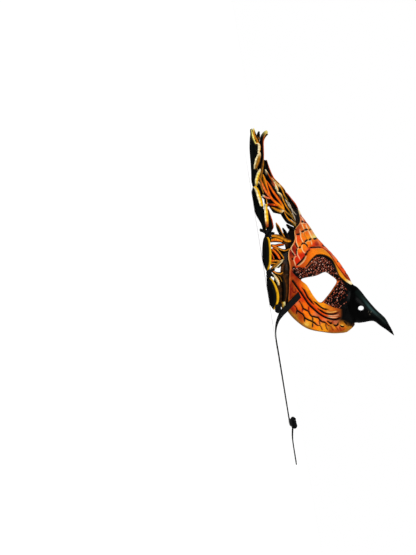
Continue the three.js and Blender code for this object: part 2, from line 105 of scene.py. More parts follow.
def catmull(points, t, closed=False):
    """Points of a Catmull-Rom curve at parameters from 0 to 1."""
    pts = np.asarray(points, float)
    n = len(pts)
    place = np.asarray(t, float) * (n if closed else n - 1)
    k = np.floor(place).astype(int)
    if closed:
        p0, p1, p2, p3 = (pts[(k + d) % n] for d in (-1, 0, 1, 2))
    else:
        k = np.clip(k, 0, n - 2)
        ext = np.vstack([2 * pts[0] - pts[1], pts, 2 * pts[-1] - pts[-2]])
        p0, p1, p2, p3 = (ext[k + d] for d in range(4))
    w = (place - k)[..., None]
    t0, t1 = 0.5 * (p2 - p0), 0.5 * (p3 - p1)
    return p1 + t0 * w + (3 * (p2 - p1) - 2 * t0 - t1) * w**2 + (2 * (p1 - p2) + t0 + t1) * w**3


def smooth_line(points, count=40, closed=False):
    return catmull(points, np.linspace(0, 1, count, endpoint=not closed), closed)


def run_length(path):
    """Distance along a path at each of its points."""
    return np.concatenate([[0], np.cumsum(np.linalg.norm(np.diff(path, axis=0), axis=1))])


# Camera first, beside the lying mask, level with it and turned with it.
VIEW_RANGE, EYE_HEIGHT = 6.0, 0.012
# In millimetres: what the picture spans, its middle on the plan, and the depth of the place it is aimed at.
PICTURE_HEIGHT, PICTURE_MIDDLE, AIM_SIDE = 555, (208, 277.5), -35
worn_forward = Vector((0, -math.sin(TILT), math.cos(TILT)))
aim = Vector(placed([AIM_SIDE, PLAN_DOWN - PICTURE_MIDDLE[1], PICTURE_MIDDLE[0] - PLAN_RIGHT]))
eye = Vector((aim.x - VIEW_RANGE, aim.y, EYE_HEIGHT))
look = (aim - eye).normalized()
right = (worn_forward - worn_forward.dot(look) * look).normalized()
stand = Matrix((right, right.cross(look), -look)).transposed().to_4x4()
stand.translation = eye
camera_data = bpy.data.cameras.new("camera")
camera_data.lens = camera_data.sensor_width * (aim - eye).length * 1000 / PICTURE_HEIGHT
camera_data.clip_start, camera_data.clip_end = 0.1, 60
camera = bpy.data.objects.new("camera", camera_data)
camera.matrix_world = stand
bpy.context.scene.collection.objects.link(camera)
bpy.context.scene.camera = camera


# Materials. Inputs of a node are given by name or number, each as a value or as another node's output.
def new_material(name):
    material = bpy.data.materials.new(name)
    material.use_nodes = True
    return material, material.node_tree, material.node_tree.nodes["Principled BSDF"]


def connect(tree, made, inputs):
    for name, value in inputs.items():
        if isinstance(value, bpy.types.NodeSocket):
            tree.links.new(value, made.inputs[name])
        else:
            made.inputs[name].default_value = value


def node(tree, kind, inputs=None, **settings):
    made = tree.nodes.new(kind)
    for name, value in settings.items():
        setattr(made, name, value)
    connect(tree, made, inputs or {})
    return made


def map_range(tree, value, from_low, from_high, low, high):
    inputs = {"Value": value, "From Min": from_low, "From Max": from_high, "To Min": low, "To Max": high}
    return node(tree, "ShaderNodeMapRange", inputs).outputs["Result"]


def noise(tree, place, scale, detail):
    inputs = {"Vector": place, "Scale": scale, "Detail": detail}
    return node(tree, "ShaderNodeTexNoise", inputs).outputs["Fac"]


def noise_map(tree, place, scale, low, high):
    return map_range(tree, noise(tree, place, scale, 3.0), 0.3, 0.7, low, high)


def math_node(tree, operation, first, second=0.0):
    return node(tree, "ShaderNodeMath", {0: first, 1: second}, operation=operation).outputs[0]


def blend(tree, share, first, second):
    """One colour or the other by a share."""
    return node(tree, "ShaderNodeMix", {"Factor": share, 6: first, 7: second}, data_type="RGBA").outputs[2]


def grey(tree, value):
    return node(tree, "ShaderNodeCombineXYZ", {0: value, 1: value, 2: value}).outputs[0]


def bump(tree, height, strength, depth):
    inputs = {"Height": height, "Strength": strength, "Distance": depth}
    return node(tree, "ShaderNodeBump", inputs).outputs["Normal"]


def mesh_layer(tree, name):
    return node(tree, "ShaderNodeVertexColor", layer_name=name).outputs["Color"]


def own_place(tree):
    return node(tree, "ShaderNodeTexCoord").outputs["Object"]


def plan_vector(tree, turn, along, across):
    """The plan coordinates of the mesh, turned and stretched."""
    places = node(tree, "ShaderNodeUVMap", uv_map="plan").outputs["UV"]
    inputs = {"Vector": places, "Rotation": (0, 0, math.radians(turn)), "Scale": (along, across, 1)}
    return node(tree, "ShaderNodeMapping", inputs, vector_type="TEXTURE").outputs["Vector"]


FLECK_TONES = ((0.0, (70, 24, 14)), (0.45, (142, 58, 34)), (0.8, (184, 106, 84)), (1.0, (212, 168, 150)))
FLECK_SLANT, FLECK_LONG, FLECK_WIDE = -52, 2.1, 1.15


def flecks(tree, paint):
    """Raised flecks in copper and pink where the mesh's stipple layer asks for them."""
    place = plan_vector(tree, FLECK_SLANT, FLECK_LONG, FLECK_WIDE)
    inputs = {"Vector": place, "Scale": 1.0, "Randomness": 0.8}
    cells = node(tree, "ShaderNodeTexVoronoi", inputs, voronoi_dimensions="2D")
    pick = node(tree, "ShaderNodeSeparateColor", {"Color": cells.outputs["Color"]})
    dot = map_range(tree, cells.outputs["Distance"], 0.42, 0.26, 0, 1)
    spare = math_node(tree, "SUBTRACT", mesh_layer(tree, "stipple"), pick.outputs[0])
    share = math_node(tree, "MULTIPLY", dot, map_range(tree, spare, 0, 0.1, 0, 1))
    ramp = node(tree, "ShaderNodeValToRGB", {"Fac": pick.outputs[1]})
    elements = ramp.color_ramp.elements
    while len(elements) < len(FLECK_TONES):
        elements.new(0.5)
    for element, (position, colour) in zip(elements, FLECK_TONES):
        element.position = position
        element.color = (*linear(tone(colour)), 1)
    return blend(tree, share, paint, ramp.outputs["Color"]), share


GRAIN_DEPTH = 0.0004
FLECK_HEIGHT = 1.5


def painted_leather(name, roughness, coat, grain, specular, stipple=False, streaks=False):
    """Leather with the painted colours of its mesh, a fine grain and uneven varnish."""
    material, tree, shader = new_material(name)
    place, colour = own_place(tree), mesh_layer(tree, "paint")
    pores = node(tree, "ShaderNodeTexVoronoi", {"Vector": place, "Scale": 1500.0}, feature="DISTANCE_TO_EDGE")
    height = math_node(tree, "ADD", noise(tree, place, 700.0, 4.0), pores.outputs["Distance"])
    patches, specks = noise_map(tree, place, 160, 0.86, 1.1), noise_map(tree, place, 650, 0.84, 1.12)
    cloud = math_node(tree, "MULTIPLY", patches, specks)
    if stipple:
        colour, raised = flecks(tree, colour)
        height = math_node(tree, "ADD", height, math_node(tree, "MULTIPLY", raised, FLECK_HEIGHT))
    if streaks:
        brush = noise(tree, plan_vector(tree, 0, 0.42, 6.0), 1.0, 3.0)
        cloud = math_node(tree, "MULTIPLY", cloud, map_range(tree, brush, 0.32, 0.68, 0.6, 1.3))
        height = math_node(tree, "ADD", height, brush)
    shade = node(tree, "ShaderNodeVectorMath", {0: colour, "Scale": cloud}, operation="SCALE")
    connect(tree, shader, {
        "Base Color": shade.outputs[0],
        "Roughness": noise_map(tree, place, 420, roughness - 0.1, roughness + 0.12),
        "Normal": bump(tree, height, grain, GRAIN_DEPTH),
        "Specular IOR Level": specular,
        "Coat Weight": coat,
        "Coat Roughness": 0.22,
    })
    return material


WARP_PITCH, WEFT_PITCH = 0.9, 1.1


def woven_strap():
    """Black flat weave, with ribs along and across the strap."""
    material, tree, shader = new_material("woven_strap")
    places = node(tree, "ShaderNodeUVMap", uv_map="weave").outputs["UV"]
    split = node(tree, "ShaderNodeSeparateXYZ", {0: places})
    ribs = [math_node(tree, "SINE", math_node(tree, "MULTIPLY", split.outputs[way], 2 * math.pi / pitch))
            for way, pitch in (("X", WARP_PITCH), ("Y", WEFT_PITCH))]
    weave = math_node(tree, "MULTIPLY", *ribs)
    share = map_range(tree, weave, -1, 1, 0, 1)
    connect(tree, shader, {
        "Base Color": blend(tree, share, (0.001, 0.001, 0.0012, 1), (0.005, 0.0052, 0.006, 1)),
        "Roughness": noise_map(tree, own_place(tree), 900, 0.7, 0.95),
        "Normal": bump(tree, weave, 0.7, 0.0003),
        "Specular IOR Level": 0.03,
        "Sheen Weight": 0.01,
        "Sheen Roughness": 0.6,
    })
    return material


def thong_leather():
    """Black thong: matt, with stretched creases."""
    material, tree, shader = new_material("thong_leather")
    place = own_place(tree)
    connect(tree, shader, {
        "Base Color": grey(tree, noise_map(tree, place, 500, 0.0015, 0.006)),
        "Roughness": noise_map(tree, place, 800, 0.45, 0.75),
        "Normal": bump(tree, noise(tree, place, 1100.0, 5.0), 0.6, GRAIN_DEPTH),
        "Specular IOR Level": 0.03,
    })
    return material


face_paint = painted_leather("face_paint", 0.42, 0.03, 0.2, specular=0.02, stipple=True)
inner_hide = painted_leather("inner_hide", 0.8, 0.0, 0.5, specular=0.1)
beak_lacquer = painted_leather("beak_lacquer", 0.34, 0.02, 0.06, specular=0.01)
cut_edge = painted_leather("cut_edge", 0.6, 0.0, 0.3, specular=0.1)
feather_paint = painted_leather("feather_paint", 0.42, 0.03, 0.25, specular=0.012, streaks=True)
thong = thong_leather()
webbing = woven_strap()


# Mesh helpers. A shape is its points, its faces, and further rows of values for each point.
def ring_faces(rings, count):
    """Faces of a tube of rings of points, closed at both ends."""
    first = np.arange(rings * count).reshape(rings, count)
    after = np.roll(first, -1, axis=1)
    walls = np.stack([first[:-1], after[:-1], after[1:], first[1:]], -1).reshape(-1, 4).tolist()
    return walls + [first[0, ::-1].tolist(), first[-1].tolist()]


def joined(shapes):
    points, faces, *rows = zip(*shapes)
    starts = np.cumsum([0] + [len(part) for part in points]).tolist()
    moved = [tuple(i + start for i in face) for start, part in zip(starts, faces) for face in part]
    return (np.vstack(points), moved, *map(np.vstack, rows))


def mirrored(shape):
    points, faces, *rows = shape
    return points * np.array([-1, 1, 1]), [tuple(reversed(face)) for face in faces], *rows


def read(items, name, kind=np.int32, width=1):
    """Values of one attribute of mesh items, in rows where an item has several."""
    values = np.zeros(len(items) * width, kind)
    items.foreach_get(name, values)
    return values.reshape(-1, width) if width > 1 else values


def smooth(mesh, degrees):
    mesh.shade_smooth()
    mesh.set_sharp_from_angle(angle=math.radians(degrees))


def mesh_object(name, points, faces, materials, turn_outward=True):
    """A new object in the scene. Its faces are turned outward where it is a closed shape."""
    mesh = bpy.data.meshes.new(name)
    mesh.from_pydata([tuple(p) for p in points], [], faces)
    mesh.validate()
    for material in materials:
        mesh.materials.append(material)
    made = bpy.data.objects.new(name, mesh)
    bpy.context.scene.collection.objects.link(made)
    if turn_outward:
        work = bmesh.new()
        work.from_mesh(mesh)
        bmesh.ops.recalc_face_normals(work, faces=work.faces)
        work.to_mesh(mesh)
        work.free()
    return made


def paint_corners(mesh, name, rgb):
    """A colour layer from one colour for each corner."""
    layer = mesh.color_attributes.new(name, "FLOAT_COLOR", "CORNER")
    rgba = np.ones((len(mesh.loops), 4), np.float32)
    rgba[:, :3] = rgb
    layer.data.foreach_set("color", rgba.ravel())


def lay_out(mesh, name, places):
    """A layer of plan coordinates from one place for each point."""
    layer = mesh.uv_layers.new(name=name)
    layer.data.foreach_set("uv", places[read(mesh.loops, "vertex_index")].astype(np.float32).ravel())


def tree_of(points):
    tree = kdtree.KDTree(len(points))
    for i, point in enumerate(points):
        tree.insert(point, i)
    tree.balance()
    return tree


def belong(made, stands_for):
    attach(made, "root")
    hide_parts(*stands_for)
    return made


SHARP_DEGREES, FACE_SHARP_DEGREES = 50, 55


def painted_piece(name, shape, material, stands_for):
    """A piece from a shape in worn millimetres, with tones and plan places for each point."""
    points, faces, colours, plans = shape
    at = placed(points)
    at[:, 2] = np.maximum(at[:, 2], FLOOR_GAP)
    made = mesh_object(name, at, faces, [material])
    smooth(made.data, SHARP_DEGREES)
    paint_corners(made.data, "paint", linear(colours)[read(made.data.loops, "vertex_index")])
    lay_out(made.data, "plan", plans)
    return belong(made, stands_for)


def woven_piece(name, shapes, stands_for):
    """A piece of strap from shapes in the row frame's millimetres, with woven places for each point."""
    points, faces, weave = joined(shapes)
    made = mesh_object(name, points * MM, faces, [webbing])
    smooth(made.data, SHARP_DEGREES)
    lay_out(made.data, "weave", weave)
    return belong(made, [stands_for])


# Straps and their tie come before the mask. Route points are in the row frame, in millimetres.
STRAP_WIDTH, STRAP_THICK, STRAP_HEIGHT = 7.0, 1.2, 0.75
STRAP_STEPS = 12
STRAP_ROUTE = [
    (61.6, -57.6, 30.9), (65.4, -60.4, 27.2), (69.8, -64, 22.2), (73.8, -68.2, 16.6), (76.6, -73, 10.8),
    (78.4, -79, 5.8), (79.4, -87, 2.2), (80, -97, STRAP_HEIGHT), (80, -112, STRAP_HEIGHT),
    (78, -130, STRAP_HEIGHT), (72, -148, STRAP_HEIGHT), (61, -164, STRAP_HEIGHT), (46, -175, STRAP_HEIGHT),
    (29, -181, STRAP_HEIGHT), (16, -183, STRAP_HEIGHT + 0.6), (4.8, -183.6, 3),
]
STRAP_FACING = [
    (0.72, -0.2, 0.66), (0.75, -0.25, 0.6), (0.8, -0.3, 0.52), (0.8, -0.35, 0.5), (0.6, -0.5, 0.62),
    (0.3, -0.5, 0.81), (0.1, -0.3, 0.95), (0, 0, 1), (0, 0, 1), (0, 0, 1), (0, 0, 1), (0, 0, 1), (0, 0, 1),
    (0, 0, 1), (0, 0, 1), (0, -0.1, 1),
]
TAIL_ROUTE = [
    (2.8, -187.8, 3), (7, -198, STRAP_HEIGHT + 0.4), (13, -207, STRAP_HEIGHT), (22, -216, STRAP_HEIGHT),
    (34, -221, STRAP_HEIGHT), (47, -221, STRAP_HEIGHT),
]
TAIL_FACING = [(0, 0.1, 1)] + [(0, 0, 1)] * 5
TIE_CENTRE = np.array([0, -184, 4.4])
TIE_SIZE = np.array([7.4, 6.6, 4.2])
TIE_SIDES, TIE_RADIUS, TIE_FLAT = 12, 2.0, 0.55
THREADS, THREAD_STEPS = 16, 6
KNOT_STEPS = 90
# Half of the strap's section in shares of half its width and thickness, with a raised selvedge at each side.
HALF_SECTION = [
    (1.0, 0.0), (0.97, 0.62), (0.88, 0.95), (0.6, 0.86), (0.3, 0.9), (0, 0.86), (-0.3, 0.9), (-0.6, 0.86),
    (-0.88, 0.95), (-0.97, 0.62),
]
STRAP_SECTION = [
    (side * STRAP_WIDTH / 2 * x, side * STRAP_THICK / 2 * y) for side in (1, -1) for x, y in HALF_SECTION
]


def tube(path, radii, sides, flat=1.0):
    """A closed tube along a path. flat below 1 presses its section."""
    tangent = unit(np.gradient(path, axis=0))
    normal = np.zeros_like(path)
    start = np.array((0.31, 0.29, 0.9))
    for i, t in enumerate(tangent):
        start = unit(start - (start @ t) * t)
        normal[i] = start
    across = np.cross(tangent, normal)
    angle = np.linspace(0, 2 * np.pi, sides, endpoint=False)[None, :, None]
    wide = np.asarray(radii)[:, None, None]
    out = across[:, None] * (np.cos(angle) * wide)
    rings = path[:, None] + out + normal[:, None] * (np.sin(angle) * wide * flat)
    return rings.reshape(-1, 3), ring_faces(len(path), sides)


def ribbon(route, facing):
    """A strap along a route: its shape, the path of its middle, and its length."""
    t = np.linspace(0, 1, len(route) * STRAP_STEPS)
    path = catmull(route, t)
    tangent = unit(np.gradient(path, axis=0))
    across = unit(np.cross(tangent, unit(catmull(facing, t))))
    normal = np.cross(across, tangent)
    run = run_length(path)
    rings = [path + across * x + normal * y for x, y in STRAP_SECTION]
    weave = np.array([(x, along) for along in run for x, _ in STRAP_SECTION])
    shape = np.stack(rings, 1).reshape(-1, 3), ring_faces(len(t), len(STRAP_SECTION)), weave
    return shape, path, run[-1]


def frayed_end(route, length):
    """Loose threads at the cut end of a strap, as shapes."""
    way = unit(route[-1] - route[-2])
    side = np.array([-way[1], way[0], 0])
    threads = []
    for i in range(THREADS):
        at = route[-1] - way + side * (i / (THREADS - 1) - 0.5) * (STRAP_WIDTH - 0.9)
        bend = side * rng.uniform(-1.1, 1.1)
        reach = rng.uniform(2.2, 4.6)
        path = smooth_line([at, at + way * reach * 0.5 + bend * 0.3, at + way * reach + bend], THREAD_STEPS)
        path[:, 2] = np.linspace(at[2], rng.uniform(0.3, 0.9), THREAD_STEPS)
        points, faces = tube(path, np.linspace(0.24, 0.12, THREAD_STEPS), 5)
        threads.append((points, faces, np.full((len(points), 2), length)))
    return threads


def knot_path(size, centre, turn):
    """One closed strand of an overhand knot, squeezed into an ellipsoid."""
    t = np.linspace(0, 2 * np.pi, KNOT_STEPS)
    lump = [np.sin(t) + 2 * np.sin(2 * t), np.cos(t) - 2 * np.cos(2 * t), -1.4 * np.sin(3 * t)]
    c, s = math.cos(turn), math.sin(turn)
    turned = (np.stack(lump, -1) / 3) @ np.array([[c, s, 0], [-s, c, 0], [0, 0, 1]])
    return turned * size + centre


def make_tie():
    """Three strands wound into one lump, with none of them outside its size."""
    shapes = []
    for turn, grow in ((0.0, 1.0), (math.pi / 3, 0.92), (0.5, 0.3)):
        path = knot_path(TIE_SIZE * 0.72 * grow, TIE_CENTRE, turn)
        points, faces = tube(path, np.full(len(path), TIE_RADIUS), TIE_SIDES, flat=TIE_FLAT)
        out = points - TIE_CENTRE
        far = np.maximum(np.linalg.norm(out / TIE_SIZE, axis=1), 1e-6)
        run = np.repeat(np.arange(len(path)), TIE_SIDES) * 0.5
        weave = np.stack([np.tile(np.arange(TIE_SIDES) * 0.6, len(path)), run], -1)
        shapes.append((TIE_CENTRE + out * np.minimum(1, 1 / far)[:, None], faces, weave))
    return woven_piece("tied_knot", shapes, "strap_tie")


tie = make_tie()
for side_name, sign in (("left", 1), ("right", -1)):
    mirror = np.array([sign, 1, 1])
    shape, path, length = ribbon(mirror * STRAP_ROUTE, mirror * STRAP_FACING)
    piece = woven_piece("woven_strap_" + side_name, [shape], "strap_" + side_name)
    shape, path, length = ribbon(mirror * TAIL_ROUTE, mirror * TAIL_FACING)
    threads = frayed_end(mirror * TAIL_ROUTE, length)
    piece = woven_piece("strap_tail_end_" + side_name, [shape, *threads], "strap_tail_" + side_name)


# The face: the same surface as the solids, with fine tooling. From the brow down, the ridge is (up, forward)
# and the rim is (half width, up, forward).
FACE_RIDGE = [
    (92.6, 29.3), (83, 34.6), (74, 41.5), (63.2, 48.5), (53.3, 57.5), (42, 68), (28.5, 77.5), (16.6, 84.2),
    (3, 92), (-9.5, 95.5), (-18, 93.5), (-22, 89), (-23, 86), (-23.3, 84.5), (-23.4, 84),
]
FACE_RIM = [
    (2, 91, 29.6), (27, 78.6, 31.4), (46, 70, 26), (55, 60, 26), (65.5, 48.5, 20), (69.5, 37, 20),
    (70.5, 24, 20.4), (70.5, 11, 20.4), (69.5, -1, 19.6), (68, -8, 19.5), (61, -19, 28.5), (49, -28, 41),
    (33, -31.6, 57.5), (18, -31.4, 73), (6, -25.5, 82.5),
]
LEATHER = 3.0
FACE_ROWS, FACE_COLUMNS = 288, 288
# The back has one point for so many of the front.
BACK_STEP = 4
MASK_MATERIALS = [face_paint, inner_hide, beak_lacquer, cut_edge]
PAINT, INNER, LACQUER, EDGE = range(4)
FOREHEAD_ROUNDNESS, CHEEK_ROUNDNESS = 1.35, 1.12
NOSE_HEIGHT, NOSE_WIDTH = 14, 16


def face_surface(across, down):
    """Places on the face by shares from one side to the other and from the brow down."""
    ridge = catmull(FACE_RIDGE, down)
    rim = catmull(FACE_RIM, down)
    a = np.abs(across)
    roundness = FOREHEAD_ROUNDNESS + (CHEEK_ROUNDNESS - FOREHEAD_ROUNDNESS) * smoothstep(down, 0.22, 0.5)
    nose = NOSE_HEIGHT * smoothstep(down, 0.47, 0.64) * (1 - smoothstep(down, 0.7, 0.86))
    half = rim[..., 0] * a
    slope = (ridge[..., 1] - nose - rim[..., 2]) * (1 - np.maximum(a, 1e-9) ** roundness)
    forward = rim[..., 2] + slope + nose * np.exp(-((half / NOSE_WIDTH) ** 2)) * (1 - a)
    up = ridge[..., 0] + (rim[..., 1] - ridge[..., 0]) * a
    return np.stack([half * np.sign(across), up, forward], -1)


def face_normal(across, down):
    step = 0.01
    d = np.clip(down, step, 1 - step)
    side = face_surface(across + step, d) - face_surface(across - step, d)
    along = face_surface(across, d + step) - face_surface(across, d - step)
    return unit(np.cross(along, side))


def plan(points):
    """Right and down on the plan, from worn millimetres."""
    return points[..., 2] + PLAN_RIGHT, PLAN_DOWN - points[..., 1]


def reach_along(line, x, y):
    """Distance of places on the plan from a line, its share passed, and on which side they lie."""
    pts = np.asarray(line, float)
    step = pts[1:] - pts[:-1]
    size = np.maximum(np.linalg.norm(step, axis=1), 1e-9)
    start = np.concatenate([[0], np.cumsum(size)])
    best, where, side = np.full(x.shape, 1e9), np.zeros(x.shape), np.zeros(x.shape)
    for i, (p, v) in enumerate(zip(pts, step)):
        rx, ry = x - p[0], y - p[1]
        s = np.clip((rx * v[0] + ry * v[1]) / size[i] ** 2, 0, 1)
        d = np.hypot(rx - s * v[0], ry - s * v[1])
        near = d < best
        best = np.where(near, d, best)
        where = np.where(near, (start[i] + s * size[i]) / start[-1], where)
        side = np.where(near, np.sign(v[0] * ry - v[1] * rx), side)
    return best, where, side


STROKE_REACH = 4.0


def stroke(line, x, y):
    """Distance from a short drawn line and the share of it passed, worked out only for places near it."""
    pts = smooth_line(line, 4 * len(line)) if len(line) > 2 else np.asarray(line, float)
    low, high = pts.min(0) - STROKE_REACH, pts.max(0) + STROKE_REACH
    close = (x > low[0]) & (x < high[0]) & (y > low[1]) & (y < high[1])
    far, share = np.full(x.shape, STROKE_REACH), np.zeros(x.shape)
    if close.any():
        far[close], share[close], _ = reach_along(pts, x[close], y[close])
    return far, share


def inside(outline, x, y, soft=0.35):
    """How far places on the plan are inside an outline, from 0 to 1 over a soft edge."""
    pts = np.asarray(outline, float)
    within = np.zeros(x.shape, bool)
    for (x0, y0), (x1, y1) in zip(pts, np.roll(pts, -1, axis=0)):
        if y0 != y1:
            within ^= ((y0 > y) != (y1 > y)) & (x < (x1 - x0) * (y - y0) / (y1 - y0) + x0)
    edge, _, _ = reach_along(np.vstack([pts, pts[:1]]), x, y)
    return smoothstep(np.where(within, edge, -edge), -soft, soft)


def flat_tone(x, name):
    return np.broadcast_to(tone(name), x.shape + (3,))


def painted(colour, *coats):
    """Coats of paint over a colour, each as a tone, or a tone for each place, and its share."""
    for layer, share in coats:
        share = np.clip(share, 0, 1)[..., None]
        layer = tone(layer) if isinstance(layer, tuple) else layer
        colour = colour * (1 - share) + layer * share
    return colour


def speckle(x, y, pitch, stretch, slant=0.0):
    """Round dots in jittered cells: closeness to the nearest dot, and that dot's own random share."""
    u, v = (x + slant * y) / pitch, y / (pitch * stretch)
    ci, cj = np.floor(u), np.floor(v)
    best, pick = np.full(x.shape, 9.0), np.zeros(x.shape)
    for di in (-1, 0, 1):
        for dj in (-1, 0, 1):
            i, j = ci + di, cj + dj
            h1 = np.modf(np.abs(np.sin(i * 127.1 + j * 311.7 + 5.0) * 43758.5453))[0]
            h2 = np.modf(np.abs(np.sin(i * 269.5 + j * 183.3 + 5.0) * 24634.6345))[0]
            d = np.hypot(u - i - 0.25 - 0.5 * h1, v - j - 0.25 - 0.5 * h2)
            near = d < best
            best, pick = np.where(near, d, best), np.where(near, h2, pick)
    return best, pick


# Lines of the tooling, as (right, down) on the plan. The brow band has a half width for each point.
BROW_BAND = [
    (296.6, 266.2), (300.2, 265.3), (303, 264), (305.5, 261), (308.2, 257.4), (311.8, 253.2), (316, 251.6),
    (319.8, 251.6), (324.2, 252.9), (327.6, 255.2), (330.7, 258.9), (333.2, 263), (335.9, 267.4),
    (338.5, 271.4), (341.4, 275.4), (344.8, 279), (348.3, 281.6), (352, 283.3),
]
BROW_HALF = [0.8, 2.2, 3.0, 3.3, 3.9, 4.3, 3.5, 3.0, 2.6, 2.2, 1.8, 1.5, 1.6, 2.1, 2.4, 2.1, 1.9, 1.6]
LID = [
    (290.4, 268.4), (298, 268.2), (305, 268.4), (308.6, 264), (312.4, 259.8), (316.8, 256.2), (321, 256.2),
    (325.3, 257.4), (329.4, 260.4), (332.6, 265), (335.6, 271.6), (341, 280), (336, 282), (330, 274.8),
    (324.8, 272.2), (315.9, 275.7), (301.3, 279.2), (297.4, 276.2), (292.4, 271),
]
NOSE_PATCH = [
    (341, 279.8), (347.6, 283.8), (353.2, 286.4), (356, 297), (356, 308), (350, 316), (344.4, 318.6),
    (342, 309.2), (332.6, 307.3), (323.4, 302.6), (329.6, 294.2), (336, 284.8),
]
UNDER_EYE = [
    (288.4, 270), (292.4, 271.4), (297.4, 276.4), (301.4, 279), (305, 281.6), (309, 287.6), (312.6, 294),
    (317, 299.6), (321.6, 302.6), (324.8, 303.6), (330, 306.8), (337, 308), (343, 308.6), (344.5, 314),
    (341.4, 319.4), (335.6, 319.9), (326.1, 317.5), (318.4, 312.7), (311.7, 307.5), (306, 301.2),
    (301.2, 293.1), (295.4, 285), (291.8, 280.6), (288.4, 280),
]
# Where the face is painted black beside the beak's root, over the lower nose and cheek.
BESIDE_BEAK_BLACK = [
    (343.2, 307), (346, 304), (358, 304), (360, 330), (352.4, 325), (349.4, 322.8), (345, 321),
    (340.6, 319.8),
]
CHEEK_GROOVE = [
    (291.4, 279.4), (292.6, 281.2), (295.4, 285), (299.6, 290.9), (304.1, 297.4), (308.2, 303.6),
    (312.9, 308.3), (318.8, 313.3), (324.5, 316.9), (330, 318.8), (335.6, 319.7), (339.7, 318.3),
]
REAR_WEDGE = [
    (288.6, 279.6), (291.8, 281.6), (296, 289), (298.8, 293.4), (296.4, 294.6), (290.6, 298.6),
    (288.6, 299.6),
]
EYE_OUTLINE = [
    (301.3, 279.2), (315.9, 275.7), (324.8, 272.2), (330.6, 275), (337, 280.8), (333.8, 287.8),
    (327.4, 296.8), (321, 302.8), (314.6, 297.4), (307, 285.3),
]
STRAP_SLIT = [(296.9, 292.8), (299.3, 292.8), (299.3, 298.2), (296.9, 298.2)]
# Pale edges of the scales: half width, tone, line.
PALE_LINES = [
    (0.42, CREAM, [(300.7, 215.8), (301.9, 217.6), (303.4, 220.6)]),
    (0.42, CREAM, [(300.6, 223.6), (302.3, 223.1), (304.4, 222.9), (306.6, 223.4)]),
    (0.5, CREAM, [(301.9, 223.8), (302.5, 225.8), (303.7, 228.2), (304.4, 229.9)]),
    (0.5, CREAM, [(306.1, 224.2), (306.6, 226.4), (307.8, 228.5)]),
    (0.4, CREAM, [(309, 223.6), (309.8, 226), (310.8, 228.2)]),
    (0.45, CREAM, [(299.9, 229), (300, 231.4), (300.5, 233.6), (300.6, 236), (301, 238), (301.8, 239.9),
        (302.9, 241.8), (304.2, 242.8)]),
    (0.4, CREAM, [(301.2, 232.7), (303, 232.1), (304.2, 233.2)]),
    (0.45, OCHRE, [(304, 232.4), (304.9, 235.3), (306.1, 237.3), (306.9, 239.3)]),
    (0.4, CREAM, [(304.6, 231.9), (305.4, 230.9), (306.6, 230.4), (308.2, 230.7)]),
    (0.6, CREAM, [(308.4, 230.6), (309.6, 232.9), (310.5, 235), (311.4, 236.9), (312.4, 238.2)]),
    # Painted highlight near the ridge: the two pale yellow lines below.
    (0.5, PALE_YELLOW, [(312.6, 237), (314.6, 236.9), (317, 236.4)]),
    (0.4, PALE_YELLOW, [(313, 229.2), (314.6, 232.4), (316.6, 235.4)]),
    (0.42, CREAM, [(296.3, 235.6), (296.1, 239), (296.4, 242.3), (297.2, 244.7), (298.4, 246.9),
        (299.6, 247.3)]),
    (0.4, CREAM, [(308, 247), (306.8, 244.8), (305.7, 242.4), (306.6, 241.5), (308, 240.9), (310.2, 240.8),
        (311.6, 240)]),
    (0.4, CREAM, [(311.2, 241), (311.6, 242.6), (311.8, 244.6)]),
    (0.42, CREAM, [(294, 243.8), (292.3, 245.5), (291.3, 247.6), (291.3, 249.6), (292.2, 251.3),
        (293.3, 252.9), (294.4, 254.6), (295.4, 255)]),
    (0.42, CREAM, [(300.8, 248.8), (299.3, 248.2), (297.9, 248.8), (297.3, 249.8), (297, 251.7),
        (297.4, 254.4), (298.2, 256.4), (299, 258.5), (299.9, 260.3)]),
    (0.42, CREAM, [(302.6, 244.9), (301.9, 246), (301.8, 248.2), (302.6, 250.5), (303.8, 252.6),
        (304.8, 253.7)]),
    (0.4, SALMON, [(290.6, 251.2), (289.4, 251.8), (288.9, 253.2), (289, 255.4), (289.5, 257.8),
        (290.2, 259.8)]),
    (0.42, CREAM, [(296.2, 256.2), (294.8, 257), (293.9, 258.8), (293.5, 260.5), (293.9, 262.3),
        (294.5, 264.1), (294.9, 266.2)]),
    (0.35, SALMON, [(297.6, 256.4), (298.7, 258.8), (299.4, 260.8)]),
    (0.45, SALMON, [(313.6, 246.5), (317.6, 246.4), (321.2, 246.2)]),
    (0.4, SALMON, [(318, 239.4), (319, 242), (320.6, 245)]),
    (0.4, CREAM, [(296.4, 266.2), (299.3, 264.4), (301.7, 262.5), (303.6, 259.8), (305.4, 256.4)]),
    (0.4, SALMON, [(309.6, 249.6), (312, 249), (316, 248.8), (320.6, 248.9)]),
    (0.45, SALMON, [(305.8, 269.3), (307.6, 266.9), (309.4, 265.1), (311.1, 263.5), (312.9, 261.5),
        (315.3, 259.5), (317.6, 257.7)]),
    (0.3, CREAM, [(328, 315.5), (333, 315.9), (338.4, 315)]),
    (0.3, CREAM, [(327.6, 317.2), (332.6, 317.7), (337.6, 317.2)]),
    (0.3, PALE_YELLOW, [(326, 311.9), (331, 312.3), (337, 311)]),
    (0.35, AMBER, [(304.6, 287.6), (308.4, 293.4), (312.6, 298.4), (318, 303.2), (323.4, 306.6)]),
    (0.35, PALE_YELLOW, [(341, 325.2), (343.2, 325.4)]),
]
